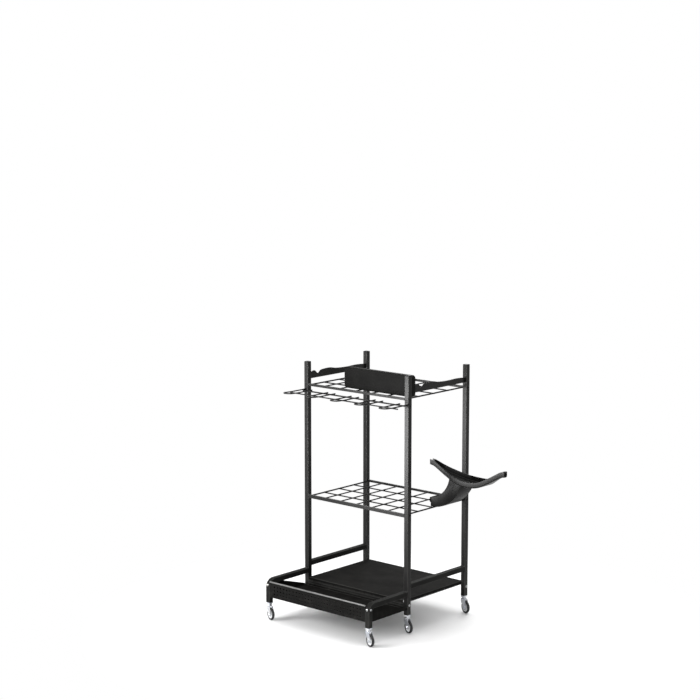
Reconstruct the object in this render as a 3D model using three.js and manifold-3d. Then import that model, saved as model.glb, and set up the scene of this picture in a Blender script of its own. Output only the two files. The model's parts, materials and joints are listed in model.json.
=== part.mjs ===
// Freestanding garden tool rack: a square-tube tower with two rod grids, a tray on bent legs in front,
// hairpin handle holders, scalloped side bands, a curved side cradle and six swivel casters.
// Millimetres. X runs across the rack, Y from the tray to the back, Z up from the ground.

import * as THREE from "three";
import { mergeVertices } from "three/addons/utils/BufferGeometryUtils.js";
import Module from "manifold-3d";

const wasm = await Module();
wasm.setup();

// Whole rack, between tube centres
const rackWidth = 515;
const towerDepth = 354;
const trayDepth = 225;
const rackHeight = 1000;

// Gaps and cutters
const seat = 0.3;
const overrun = 6;
const weld = 1e-4;

// Square tube of the posts, legs and rails
const tubeSize = 20;
const tubeWall = 1.4;
const tubeCorner = 2.4;
const cornerSteps = 1;

// Caps on the tall posts
const capThickness = 2.6;
const capBevel = 0.7;
const capSkirt = 12;
const capSkirtWall = 1.6;
const capClearance = 0.2;

// Foot inserts that carry the caster stems
const insertHeight = 30;
const collarHeight = 9;
const collarRadius = 10;
const collarSides = 16;
const stemClearance = 0.35;

// Casters
const tubeEndHeight = 70.4;
const wheelRadius = 24.5;
const wheelWidth = 11;
const wheelSides = 24;
const treadDepth = 5.5;
const treadCrown = 1.6;
const webRecess = 3.6;
const hubRadius = 8;
const casterTrail = 11;
const casterHeading = THREE.MathUtils.degToRad(-18.6);
const axleRadius = 3;
const axleSides = 8;
const axleBoreSides = 12;
const axleClearance = 0.3;
const axleHeadRadius = 5.2;
const axleHeadHeight = 2.2;
const forkSheet = 1.9;
const forkSideGap = 0.5;
const forkCrownHeight = 58.2;
const forkCrownFront = 12;
const forkCrownBack = 12;
const forkShoulder = 40;
const forkEndRadius = 8.6;
const forkBend = 4.5;
const forkBendSteps = 2;
const raceRadius = 8.5;
const stemRadius = 4;
const stemSides = 12;
const stemEngagement = 25;

// Bent front leg and its rail
const legRailCentre = 154;
const legBend = 24;
const turnPerStep = THREE.MathUtils.degToRad(22.5);
const fewestBendSteps = 1;

// Sheet metal
const sheet = 1.5;
const sheetBend = 2.5;

// Tray apron
const apronTop = 157;
const apronBottom = 92;
const apronSetback = 2;
const apronBead = 3;
const beadSides = 10;
const holeRadius = 3.5;
const holeSides = 6;
const holePitchAcross = 16.5;
const holePitchUp = 14.5;
const holeMarginSide = 20;
const holeRows = 3;

// Floors and cross bar
const trayFloorRise = 2.5;
const trayLip = 12;
const trayWallTaperStart = 55;
const trayWallRearHeight = 6;
const crossBarTop = 113;
const floorFlange = 15;
const floorRearOverlap = 2;

// Side rails between the front and rear posts
const sideRailCentre = 182;

// Rod grids
const midGridHeight = 460.6;
const topGridSetDown = 91;
const rodRadius = 2.5;
const rodSides = 8;
const gridBarHeight = 10;
const gridBarThickness = 5;
const gridBarCorner = 1.5;
const gridSideRodRadius = 3;
const gridSideInset = 0.5;
const gridColumns = 6;
const gridRows = 4;
const gridRearOverlap = 2;

// Hairpin handle holders in front
const loopCount = 5;
const loopPitch = 122;
const loopWidth = 38;
const loopReach = 132;
const loopFlatReach = 84;
const loopRise = 2;
const loopBend = 30;
const loopBelowTopGrid = 20;
const rootRodRadius = 3;
const tieRodSetForward = 72;
const tieRodOverhang = 12;
const lugHeight = 14;
const lugThickness = 2;
const lugReach = 15;

// Scalloped side bands
const bandAboveTopGrid = 20;
const bandHeight = 31;
const bandThickness = 2.5;
const bandSteps = 26;
const bandTopShares = [
  [0, 0.72],
  [0.06, 0.96],
  [0.1, 0.9],
  [0.145, 0.54],
  [0.19, 0.86],
  [0.25, 0.96],
  [0.36, 0.98],
  [0.48, 0.78],
  [0.66, 0.7],
  [0.84, 0.74],
  [1, 0.64],
];

// Panel behind the front right post
const panelLength = 342;
const panelPastPost = 0;
const panelSetDown = 3;
const panelDepth = 20;
const panelCorner = 12;
const panelCornerSteps = 3;

// Side cradle
const cradleHalfWidth = 176.5;
const cradleSag = 66;
const cradleFromSide = 164.5;
const cradleBottom = 569;
const cradleLip = 22;
const cradleSheet = 3;
const cradleFront = 135;
const cradleDepth = 105;
const cradleEndDepth = 20;
const cradleSteps = 18;
const cradleShares = [
  [-1, 1],
  [-0.92, 0.96],
  [-0.84, 0.86],
  [-0.58, 0.47],
  [-0.3, 0.12],
  [0, 0],
  [0.3, 0.12],
  [0.58, 0.47],
  [0.84, 0.86],
  [0.92, 0.96],
  [1, 1],
];

// Cradle arm and its mounting plate
const armWidth = 82;
const armSetback = 14;
const armSheet = 2.5;
const armRootHeight = 36;
const armTopWidth = 66;
const armRootCentre = 486;
const armReach = 122;
const armRise = 125;
const armRootPull = 60;
const armTopPull = 72;
const armSteps = 10;
const plateBottom = 455;
const plateTop = 505;
const plateSlant = 75;
const plateTipRise = 31;
const plateLead = 4;

// Values that follow from the sizes above
const topGridHeight = rackHeight - topGridSetDown;
const loopHeight = topGridHeight - loopBelowTopGrid;
const bandBottom = topGridHeight + bandAboveTopGrid;
const panelTop = rackHeight - panelSetDown;
const halfTube = tubeSize / 2;
const postX = rackWidth / 2;
const tubeBore = tubeSize - tubeWall * 2;
const innerSeatX = postX - halfTube - seat;
const towerFrontFace = -halfTube;
const wheelCornerRadius = wheelRadius / Math.cos(Math.PI / wheelSides);
const forkOuterWidth = wheelWidth + (forkSideGap + forkSheet) * 2;
const collarBottom = tubeEndHeight - collarHeight;

// Finishes
const blackCoat = () => finish(0x232426, 0.42, 0.35);
const blackPlastic = () => finish(0x1b1b1c, 0.6, 0);
const zincPlate = () => finish(0xc9ccd0, 0.28, 0.95);
const wheelRubber = () => finish(0x2a2b2d, 0.7, 0);

function finish(color, roughness, metalness) {
  return new THREE.MeshStandardMaterial({ color, roughness, metalness });
}

// Solids: closed geometries with shared vertices, joined and cut exactly

function solid(geometry) {
  const bare = geometry.index ? geometry.toNonIndexed() : geometry.clone();
  bare.deleteAttribute("normal");
  bare.deleteAttribute("uv");
  const merged = mergeVertices(bare, weld);
  const vertProperties = merged.attributes.position.array;
  const triVerts = new Uint32Array(merged.index.array);
  return new wasm.Manifold(new wasm.Mesh({ numProp: 3, vertProperties, triVerts }));
}

function join(...solids) {
  return solids.reduce((whole, next) => whole.add(next));
}

function cut(body, ...tools) {
  return tools.reduce((rest, tool) => rest.subtract(tool), body);
}

function piece(name, body, material) {
  const { vertProperties, triVerts } = body.getMesh();
  const shared = new THREE.BufferGeometry();
  shared.setAttribute("position", new THREE.BufferAttribute(vertProperties, 3));
  shared.setIndex(new THREE.BufferAttribute(triVerts, 1));
  const geometry = shared.toNonIndexed();
  geometry.computeVertexNormals();
  const mesh = new THREE.Mesh(geometry, material);
  mesh.name = name;
  return mesh;
}

function placed(mesh, x, y, z) {
  mesh.position.set(x, y, z);
  return mesh;
}

// Basic forms

function block(x0, x1, y0, y1, z0, z1) {
  const box = new THREE.BoxGeometry(x1 - x0, y1 - y0, z1 - z0);
  box.translate((x0 + x1) / 2, (y0 + y1) / 2, (z0 + z1) / 2);
  return solid(box);
}

function extrusion(shape, depth, steps = cornerSteps) {
  return new THREE.ExtrudeGeometry(shape, { depth, curveSegments: steps, bevelEnabled: false });
}

// An outline drawn as (X, Z), run backwards from yFront over the given depth.
function frontOutline(shape, yFront, depth, steps = cornerSteps) {
  const form = extrusion(shape, depth, steps);
  form.rotateX(Math.PI / 2);
  form.translate(0, yFront + depth, 0);
  return solid(form);
}

// An outline drawn as (Y, Z), run along X from xLeft over the given length.
function sideOutline(shape, xLeft, length, steps = cornerSteps) {
  const form = extrusion(shape, length, steps);
  const across = new THREE.Vector3(1, 0, 0);
  const back = new THREE.Vector3(0, 1, 0);
  const up = new THREE.Vector3(0, 0, 1);
  form.applyMatrix4(new THREE.Matrix4().makeBasis(back, up, across));
  form.translate(xLeft, 0, 0);
  return solid(form);
}

// An upright outline drawn as (X, Y), from zBottom over the given height.
function planOutline(shape, zBottom, height, steps = cornerSteps) {
  const form = extrusion(shape, height, steps);
  form.translate(0, 0, zBottom);
  return solid(form);
}

function outlineOf(points) {
  return new THREE.Shape(points.map(([a, b]) => new THREE.Vector2(a, b)));
}

function roundedRectangle(width, height, corner, path = new THREE.Shape()) {
  const a = width / 2 - corner;
  const b = height / 2 - corner;
  const quarter = Math.PI / 2;
  path.absarc(a, b, corner, 0, quarter);
  path.absarc(-a, b, corner, quarter, quarter * 2);
  path.absarc(-a, -b, corner, quarter * 2, quarter * 3);
  path.absarc(a, -b, corner, quarter * 3, quarter * 4);
  return path;
}

function tubeSection() {
  const section = roundedRectangle(tubeSize, tubeSize, tubeCorner);
  section.holes.push(new THREE.Path(square(tubeBore)));
  return section;
}

function square(size) {
  const half = size / 2;
  return outlineOf([
    [-half, -half],
    [half, -half],
    [half, half],
    [-half, half],
  ]).getPoints();
}

// A regular polygon whose flats lie at the given radius, with one flat on each axis.
function polygon(flatRadius, sides, x = 0, y = 0) {
  const radius = flatRadius / Math.cos(Math.PI / sides);
  const points = [];
  const halfStep = Math.PI / sides;
  for (let k = 0; k < sides; k += 1) {
    const angle = halfStep + halfStep * 2 * k;
    points.push(new THREE.Vector2(x + radius * Math.cos(angle), y + radius * Math.sin(angle)));
  }
  return points;
}

// Round bars whose flats lie level, along each axis
function uprightRod(radius, sides, z0, z1) {
  return planOutline(new THREE.Shape(polygon(radius, sides)), z0, z1 - z0);
}

function acrossRod(radius, sides, x0, x1, y, z) {
  return sideOutline(new THREE.Shape(polygon(radius, sides, y, z)), x0, x1 - x0);
}

function depthRod(radius, sides, y0, y1, x, z) {
  return frontOutline(new THREE.Shape(polygon(radius, sides, x, z)), y0, y1 - y0);
}

// The stations of a bent line: its ends and, at each corner, an arc of the given radius.
function bentStations(corners, radii) {
  const first = corners[0];
  const last = corners[corners.length - 1];
  const stations = [{ at: first, along: corners[1].clone().sub(first).normalize() }];
  for (let k = 1; k < corners.length - 1; k += 1) {
    const inward = corners[k].clone().sub(corners[k - 1]).normalize();
    const outward = corners[k + 1].clone().sub(corners[k]).normalize();
    const turn = inward.angleTo(outward);
    const side = outward.clone().addScaledVector(inward, -inward.dot(outward)).normalize();
    const radius = radii[k - 1];
    const steps = Math.max(fewestBendSteps, Math.round(turn / turnPerStep));
    const start = corners[k].clone().addScaledVector(inward, -radius * Math.tan(turn / 2));
    for (let s = 0; s <= steps; s += 1) {
      const angle = (turn * s) / steps;
      const at = start.clone();
      at.addScaledVector(inward, radius * Math.sin(angle));
      at.addScaledVector(side, radius * (1 - Math.cos(angle)));
      const along = inward.clone().multiplyScalar(Math.cos(angle));
      along.addScaledVector(side, Math.sin(angle));
      if (at.distanceTo(stations[stations.length - 1].at) > seat) {
        stations.push({ at, along });
      }
    }
  }
  stations.push({ at: last, along: stations[stations.length - 1].along });
  return stations;
}

// A path whose even steps fall on the stations, so that straight runs stay one step long.
class StationPath extends THREE.Curve {
  constructor(stations) {
    super();
    this.stations = stations;
  }

  getPoint(share, target = new THREE.Vector3()) {
    return this.blend("at", share, target);
  }

  getPointAt(share, target) {
    return this.getPoint(share, target);
  }

  getTangent(share, target = new THREE.Vector3()) {
    return this.blend("along", share, target).normalize();
  }

  getTangentAt(share, target) {
    return this.getTangent(share, target);
  }

  blend(key, share, target) {
    const place = share * (this.stations.length - 1);
    const index = Math.min(Math.floor(place), this.stations.length - 2);
    return target.lerpVectors(this.stations[index][key], this.stations[index + 1][key], place - index);
  }
}

function sweep(section, stations, sectionSteps = cornerSteps) {
  const form = new THREE.ExtrudeGeometry(section, {
    steps: stations.length - 1,
    curveSegments: sectionSteps,
    extrudePath: new StationPath(stations),
  });
  return solid(form);
}

// The section of a folded sheet: a line with rounded folds, given the sheet's thickness.
function foldedSheet(corners, thickness, bend) {
  const line = corners.map(([a, b]) => new THREE.Vector3(a, b, 0));
  const radii = corners.slice(2).map(() => bend);
  const stations = bentStations(line, radii);
  const offset = (station, side) => {
    const { at, along } = station;
    return new THREE.Vector2(at.x - (along.y * side * thickness) / 2, at.y + (along.x * side * thickness) / 2);
  };
  const left = stations.map((station) => offset(station, 1));
  const right = stations.map((station) => offset(station, -1));
  return new THREE.Shape([...right, ...left.reverse()]);
}

// Foot insert: a collar under the tube and a plug inside it, for the caster's stem
function footInsert() {
  const collar = uprightRod(collarRadius, collarSides, -collarHeight, 0);
  const plug = planOutline(new THREE.Shape(square(tubeBore)), 0, insertHeight);
  return join(collar, plug);
}

function stemBore() {
  const bore = stemRadius + stemClearance;
  return uprightRod(bore, stemSides, -collarHeight - overrun, insertHeight + overrun);
}

function post(name) {
  const length = rackHeight - capThickness - seat - tubeEndHeight;
  const tube = planOutline(tubeSection(), 0, length);
  return piece(name, cut(join(tube, footInsert()), stemBore()), blackCoat());
}

function postCap(name) {
  const faceSize = tubeSize - capBevel * 2;
  const plate = new THREE.ExtrudeGeometry(roundedRectangle(faceSize, faceSize, tubeCorner), {
    depth: capThickness - capBevel * 2,
    curveSegments: cornerSteps,
    bevelThickness: capBevel,
    bevelSize: capBevel,
    bevelSegments: 1,
  });
  plate.translate(0, 0, capBevel);
  const skirtSize = tubeBore - capClearance * 2;
  const skirt = new THREE.Shape(square(skirtSize));
  skirt.holes.push(new THREE.Path(square(skirtSize - capSkirtWall * 2)));
  const skirtSolid = planOutline(skirt, -capSkirt, capSkirt + capBevel);
  return piece(name, join(solid(plate), skirtSolid), blackPlastic());
}

function frontLeg(name) {
  const rise = legRailCentre - tubeEndHeight;
  const reach = trayDepth - halfTube - seat;
  const corners = [new THREE.Vector3(), new THREE.Vector3(0, 0, rise), new THREE.Vector3(0, reach, rise)];
  const tube = sweep(tubeSection(), bentStations(corners, [legBend]));
  return piece(name, cut(join(tube, footInsert()), stemBore()), blackCoat());
}

// Tray apron: a perforated sheet with a beaded top edge, between the front legs
function trayApron() {
  const front = -trayDepth - halfTube + apronSetback;
  const back = front + sheet;
  const sheetTop = apronTop - apronBead;
  const face = outlineOf([
    [-innerSeatX, apronBottom],
    [innerSeatX, apronBottom],
    [innerSeatX, sheetTop],
    [-innerSeatX, sheetTop],
  ]);
  const perforated = (innerSeatX - holeMarginSide) * 2;
  const columns = Math.floor(perforated / holePitchAcross);
  const middle = (apronBottom + sheetTop) / 2;
  for (let row = 0; row < holeRows; row += 1) {
    const z = middle + (row - (holeRows - 1) / 2) * holePitchUp;
    for (let column = 0; column <= columns; column += 1) {
      const x = (column - columns / 2) * holePitchAcross;
      face.holes.push(new THREE.Path(polygon(holeRadius, holeSides, x, z)));
    }
  }
  const bead = acrossRod(apronBead, beadSides, -innerSeatX, innerSeatX, (front + back) / 2, sheetTop);
  return piece("tray_apron", join(frontOutline(face, front, sheet), bead), blackCoat());
}

// Tray floor: a sheet with a lip along its front and back. Behind the legs it runs out under the rails,
// where a wall closes each side and tapers off towards the tall post.
function trayFloor() {
  const bottom = apronBottom + trayFloorRise - sheet / 2;
  const lipTop = bottom + trayLip;
  const outerX = postX + halfTube;
  const front = -trayDepth - halfTube + apronSetback + sheet + seat;
  const behindLegs = -trayDepth + halfTube + seat;
  const back = towerFrontFace - seat;
  const floor = outlineOf([
    [-innerSeatX, front],
    [innerSeatX, front],
    [innerSeatX, behindLegs],
    [outerX, behindLegs],
    [outerX, back],
    [-outerX, back],
    [-outerX, behindLegs],
    [-innerSeatX, behindLegs],
  ]);
  const bend = legBend - halfTube - seat;
  const underRail = legRailCentre - halfTube - seat;
  const wall = new THREE.Shape();
  wall.moveTo(behindLegs, bottom);
  wall.lineTo(back, bottom);
  wall.lineTo(back, bottom + trayWallRearHeight);
  wall.lineTo(behindLegs + trayWallTaperStart, underRail);
  wall.absarc(behindLegs + bend, underRail - bend, bend, Math.PI / 2, Math.PI);
  const leftWall = sideOutline(wall, -outerX, sheet);
  const rightWall = leftWall.translate(outerX * 2 - sheet, 0, 0);
  const frontLip = block(-innerSeatX, innerSeatX, front, front + sheet, bottom, lipTop);
  const rearLip = block(-innerSeatX, innerSeatX, back - sheet, back, bottom, lipTop);
  const parts = [planOutline(floor, bottom, sheet), leftWall, rightWall, frontLip, rearLip];
  return piece("tray_floor", join(...parts), blackCoat());
}

function crossBar() {
  const bar = extrusion(tubeSection(), innerSeatX * 2);
  bar.rotateY(Math.PI / 2);
  bar.translate(-innerSeatX, 0, 0);
  return placed(piece("front_cross_bar", solid(bar), blackCoat()), 0, 0, crossBarTop - halfTube);
}

// Rear floor: a sheet with its four edges folded down, standing on the cross bar
function rearFloor() {
  const top = crossBarTop + seat + floorFlange;
  const lineZ = top - sheet / 2;
  const sideX = innerSeatX - sheet / 2;
  const front = towerFrontFace;
  const back = towerDepth + floorRearOverlap;
  const section = foldedSheet(
    [
      [-sideX, top - floorFlange],
      [-sideX, lineZ],
      [sideX, lineZ],
      [sideX, top - floorFlange],
    ],
    sheet,
    sheetBend,
  );
  const deck = frontOutline(section, front, back - front);
  const flangeX = sideX - sheetBend;
  const frontFlange = block(-flangeX, flangeX, front, front + sheet, top - floorFlange, lineZ);
  const rearFlange = block(-flangeX, flangeX, back - sheet, back, top - floorFlange, lineZ);
  return piece("rear_floor", join(deck, frontFlange, rearFlange), blackCoat());
}

function sideRail(name) {
  const length = towerDepth - tubeSize - seat * 2;
  const bar = extrusion(tubeSection(), length);
  bar.rotateX(-Math.PI / 2);
  return piece(name, solid(bar), blackCoat());
}

// A rod grid: a frame with front and rear bars, side rods and cross rods, and depth rods laid on it

const gridDepth = towerDepth + gridRearOverlap - towerFrontFace;
const gridInnerFront = towerFrontFace + gridBarThickness;
const gridInnerRear = towerFrontFace + gridDepth - gridBarThickness;
const depthRodLift = gridBarHeight / 2 - rodRadius;
const crossRodDrop = rodRadius * 2 + seat - depthRodLift;
const sideRodDrop = gridBarHeight / 2 - gridSideRodRadius - gridSideInset;
const gridSideRodX = innerSeatX - gridSideInset - gridSideRodRadius;

function gridFrame(name, level) {
  const bar = roundedRectangle(gridBarThickness, gridBarHeight, gridBarCorner);
  const length = innerSeatX * 2;
  const frontBar = sideOutline(bar, -innerSeatX, length).translate(
    0,
    towerFrontFace + gridBarThickness / 2,
    level,
  );
  const rearBar = frontBar.translate(0, gridDepth - gridBarThickness, 0);
  const parts = [frontBar, rearBar];
  const front = gridInnerFront - gridBarThickness / 2;
  const rear = gridInnerRear + gridBarThickness / 2;
  for (const x of [-gridSideRodX, gridSideRodX]) {
    parts.push(depthRod(gridSideRodRadius, rodSides, front, rear, x, level - sideRodDrop));
  }
  for (let row = 1; row < gridRows; row += 1) {
    const y = gridInnerFront + ((gridInnerRear - gridInnerFront) * row) / gridRows;
    parts.push(acrossRod(rodRadius, rodSides, -gridSideRodX, gridSideRodX, y, level - crossRodDrop));
  }
  return piece(name, join(...parts), blackCoat());
}

function gridDepthRods(prefix, level) {
  const rods = [];
  const innerX = gridSideRodX - gridSideRodRadius;
  const z = level + depthRodLift;
  for (let column = 1; column < gridColumns; column += 1) {
    const x = -innerX + (innerX * 2 * column) / gridColumns;
    const rod = depthRod(rodRadius, rodSides, gridInnerFront + seat, gridInnerRear - seat, 0, 0);
    rods.push(placed(piece(prefix + "_depth_rod_" + column, rod, blackCoat()), x, 0, z));
  }
  return rods;
}

// Hairpin handle holders: a root rod on the front posts, a tie rod and a row of loops laid on both

const rootRodY = towerFrontFace - seat - rootRodRadius;
const loopDrop = rodRadius + seat;

function hookRootRod() {
  const z = loopHeight - loopDrop - rootRodRadius;
  const lugInner = postX + halfTube + seat;
  const lugOuter = lugInner + lugThickness;
  const rod = acrossRod(rootRodRadius, rodSides, -lugOuter, lugOuter, rootRodY, z);
  const lugs = [-1, 1].map((side) => {
    const near = Math.min(side * lugInner, side * lugOuter);
    const front = rootRodY - rootRodRadius;
    return block(near, near + lugThickness, front, front + lugReach, z - lugHeight / 2, z + lugHeight / 2);
  });
  return piece("hook_root_rod", join(rod, ...lugs), blackCoat());
}

function hookTieRod() {
  const end = ((loopCount - 1) * loopPitch) / 2 + loopWidth / 2 + tieRodOverhang;
  const z = loopHeight - loopDrop - rodRadius;
  const rod = acrossRod(rodRadius, rodSides, -end, end, towerFrontFace - tieRodSetForward, z);
  return piece("hook_tie_rod", rod, blackCoat());
}

function hookLoop(name) {
  const half = loopWidth / 2;
  const tip = -loopReach;
  const corners = [
    new THREE.Vector3(-half, 0, 0),
    new THREE.Vector3(-half, -loopFlatReach, 0),
    new THREE.Vector3(-half, tip, loopRise),
    new THREE.Vector3(half, tip, loopRise),
    new THREE.Vector3(half, -loopFlatReach, 0),
    new THREE.Vector3(half, 0, 0),
  ];
  const stations = bentStations(corners, [loopBend, half, half, loopBend]);
  const section = new THREE.Shape(polygon(rodRadius, rodSides));
  return piece(name, sweep(section, stations), blackCoat());
}

// Scalloped side band, drawn from the front end backwards
function sideBand(name, length) {
  const crest = new THREE.SplineCurve(
    bandTopShares.map(([along, up]) => new THREE.Vector2(along * length, up * bandHeight)),
  );
  const outline = new THREE.Shape([
    new THREE.Vector2(0, 0),
    new THREE.Vector2(length, 0),
    ...crest.getPoints(bandSteps).reverse(),
  ]);
  return piece(name, sideOutline(outline, -bandThickness / 2, bandThickness), blackCoat());
}

// Panel: a shallow folded box, open at the back, on the top grid's front bar
function topPanel() {
  const bottom = topGridHeight + gridBarHeight / 2 + seat;
  const height = panelTop - bottom;
  const inner = roundedRectangle(panelLength - sheet * 2, height - sheet * 2, panelCorner - sheet);
  const box = frontOutline(roundedRectangle(panelLength, height, panelCorner), 0, panelDepth, panelCornerSteps);
  const hollow = frontOutline(inner, sheet, panelDepth, panelCornerSteps);
  const mesh = piece("top_panel", cut(box, hollow), blackCoat());
  const x = postX + halfTube + panelPastPost - panelLength / 2;
  return placed(mesh, x, halfTube + seat, bottom + height / 2);
}

// Side cradle: a sagging sheet with upright lips at its front and back edges

const cradleX = postX + halfTube + cradleFromSide;
const cradleCurve = new THREE.SplineCurve(
  cradleShares.map(([across, up]) => {
    return new THREE.Vector2(cradleX + across * cradleHalfWidth, cradleBottom + up * cradleSag);
  }),
);

function cradleBand(from, to) {
  const line = cradleCurve.getPoints(cradleSteps);
  const lower = line.map((point) => new THREE.Vector2(point.x, point.y + from));
  const upper = line.map((point) => new THREE.Vector2(point.x, point.y + to));
  return new THREE.Shape([...lower, ...upper.reverse()]);
}

// The cradle's plan: straight in front, its rear edge furthest back in the middle.
function cradlePlan(inset, endExtra) {
  const rear = cradleCurve.getPoints(cradleSteps).map((point) => {
    const across = (point.x - cradleX) / cradleHalfWidth;
    const swell = Math.cos((across * Math.PI) / 2) ** 2;
    const depth = THREE.MathUtils.lerp(cradleEndDepth, cradleDepth, swell);
    return new THREE.Vector2(point.x, cradleFront + depth - inset);
  });
  rear[0].x -= endExtra;
  rear[rear.length - 1].x += endExtra;
  const frontLeft = new THREE.Vector2(rear[0].x, cradleFront + inset);
  const frontRight = new THREE.Vector2(rear[rear.length - 1].x, cradleFront + inset);
  return new THREE.Shape([frontLeft, frontRight, ...rear.reverse()]);
}

function cradle() {
  const low = cradleBottom - overrun;
  const height = cradleSag + cradleLip + overrun * 2;
  const outer = frontOutline(cradleBand(0, cradleLip), cradleFront, cradleDepth);
  const well = frontOutline(cradleBand(cradleSheet, cradleLip + overrun), cradleFront, cradleDepth);
  const wholePlan = planOutline(cradlePlan(0, 0), low, height);
  const wellPlan = planOutline(cradlePlan(cradleSheet, overrun), low, height);
  return piece("cradle", cut(outer.intersect(wholePlan), well.intersect(wellPlan)), blackCoat());
}

// Arm: a channel that leaves its plate level and turns up under the cradle, open on its inner side
function armCurve() {
  const rootX = postX - halfTube + armSheet;
  const topX = rootX + armReach;
  return new THREE.CubicBezierCurve(
    new THREE.Vector2(rootX - armSheet / 2, armRootCentre),
    new THREE.Vector2(rootX + armRootPull, armRootCentre),
    new THREE.Vector2(topX, armRootCentre + armRise - armTopPull),
    new THREE.Vector2(topX, armRootCentre + armRise),
  );
}

function armOutline(innerExtra, outerExtra) {
  const curve = armCurve();
  const innerSide = [];
  const outerSide = [];
  for (let k = 0; k <= armSteps; k += 1) {
    const share = k / armSteps;
    const at = curve.getPoint(share);
    const along = curve.getTangent(share);
    const half = THREE.MathUtils.lerp(armRootHeight, armTopWidth, share) / 2;
    const inner = half + innerExtra;
    const outer = half + outerExtra;
    innerSide.push(new THREE.Vector2(at.x - along.y * inner, at.y + along.x * inner));
    outerSide.push(new THREE.Vector2(at.x + along.y * outer, at.y - along.x * outer));
  }
  return new THREE.Shape([...outerSide, ...innerSide.reverse()]);
}

function cradleArm() {
  const front = cradleFront + armSetback;
  const channel = frontOutline(armOutline(0, 0), front, armWidth);
  const hollow = frontOutline(armOutline(overrun, -armSheet), front + armSheet, armWidth - armSheet * 2);
  const underCradle = frontOutline(cradleBand(-seat, cradleSag * 2), front - overrun, armWidth + overrun * 2);
  const plateFront = front - plateLead;
  const plateRear = towerDepth - halfTube - seat;
  const plate = outlineOf([
    [plateFront + plateSlant, plateBottom],
    [plateRear, plateBottom],
    [plateRear, plateTop],
    [plateFront, plateTop],
    [plateFront, plateBottom + plateTipRise],
  ]);
  const plateSolid = sideOutline(plate, postX - halfTube, armSheet);
  const webs = cut(channel, hollow, underCradle);
  return piece("cradle_arm", join(webs, plateSolid), blackCoat());
}

// Casters, drawn about the stem's centre line, rolling towards +X

function forkSide() {
  const axleZ = wheelRadius;
  const outline = new THREE.Shape();
  outline.moveTo(-forkCrownBack, forkCrownHeight);
  outline.lineTo(-forkCrownBack, forkShoulder + forkBend);
  outline.lineTo(casterTrail - forkEndRadius, axleZ);
  outline.absarc(casterTrail, axleZ, forkEndRadius, Math.PI, Math.PI * 2);
  outline.lineTo(casterTrail + forkEndRadius, forkShoulder);
  outline.lineTo(forkCrownFront, forkCrownHeight);
  return outline;
}

function forkArch(halfWidth, top, bend) {
  const bottom = wheelRadius - forkEndRadius - overrun;
  const arch = new THREE.Shape();
  arch.moveTo(-halfWidth, bottom);
  arch.lineTo(halfWidth, bottom);
  arch.lineTo(halfWidth, top - bend);
  arch.absarc(halfWidth - bend, top - bend, bend, 0, Math.PI / 2);
  arch.absarc(-halfWidth + bend, top - bend, bend, Math.PI / 2, Math.PI);
  return arch;
}

function casterFork(name) {
  const half = forkOuterWidth / 2;
  const span = forkCrownBack + casterTrail + forkEndRadius;
  const side = frontOutline(forkSide(), -half, forkOuterWidth, forkBendSteps);
  const outer = sideOutline(forkArch(half, forkCrownHeight, forkBend), -span, span * 2);
  const innerArch = forkArch(half - forkSheet, forkCrownHeight - forkSheet, forkBend - forkSheet);
  const inner = sideOutline(innerArch, -span, span * 2);
  const bore = depthRod(axleRadius + axleClearance, axleBoreSides, -half - overrun, half + overrun, casterTrail, wheelRadius);
  const race = uprightRod(raceRadius, stemSides, forkCrownHeight - forkSheet / 2, collarBottom - seat);
  const stemTop = tubeEndHeight + stemEngagement;
  const stem = uprightRod(stemRadius, stemSides, forkCrownHeight - forkSheet / 2, stemTop);
  const bracket = cut(side.intersect(outer), inner, bore);
  return piece(name, join(bracket, race, stem), zincPlate());
}

function lathe(points, sides) {
  const form = new THREE.LatheGeometry(points.map(([r, y]) => new THREE.Vector2(r, y)), sides);
  form.rotateY(Math.PI / sides);
  return solid(form);
}

function casterWheel(name) {
  const half = wheelWidth / 2;
  const bore = axleRadius + axleClearance;
  const rim = wheelCornerRadius;
  const web = half - webRecess;
  const hubFace = half + forkSideGap - seat;
  const tread = rim - treadDepth;
  const profile = [
    [bore, -hubFace],
    [hubRadius, -hubFace],
    [hubRadius, -web],
    [tread, -web],
    [rim - treadCrown, -half],
    [rim, -half + treadCrown],
    [rim, half - treadCrown],
    [rim - treadCrown, half],
    [tread, web],
    [hubRadius, web],
    [hubRadius, hubFace],
    [bore, hubFace],
    [bore, -hubFace],
  ];
  return piece(name, lathe(profile, wheelSides), wheelRubber());
}

function casterAxle(name) {
  const cheek = forkOuterWidth / 2;
  const headBase = cheek + seat;
  const headTop = headBase + axleHeadHeight;
  const profile = [
    [0, -headTop],
    [axleHeadRadius, -headTop],
    [axleHeadRadius, -headBase],
    [axleRadius, -headBase],
    [axleRadius, headBase],
    [axleHeadRadius, headBase],
    [axleHeadRadius, headTop],
    [0, headTop],
  ];
  return piece(name, lathe(profile, axleSides), zincPlate());
}

function caster(place) {
  const group = new THREE.Group();
  const wheel = placed(casterWheel(place + "_caster_wheel"), casterTrail, 0, wheelRadius);
  const axle = placed(casterAxle(place + "_caster_axle"), casterTrail, 0, wheelRadius);
  group.add(casterFork(place + "_caster_fork"), wheel, axle);
  group.rotation.z = casterHeading;
  return group;
}

// Assembly

const rack = new THREE.Group();
rack.name = "garden_tool_rack";

const rows = [
  ["front", -trayDepth],
  ["middle", 0],
  ["rear", towerDepth],
];
const sides = [
  ["left", -postX],
  ["right", postX],
];

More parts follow.
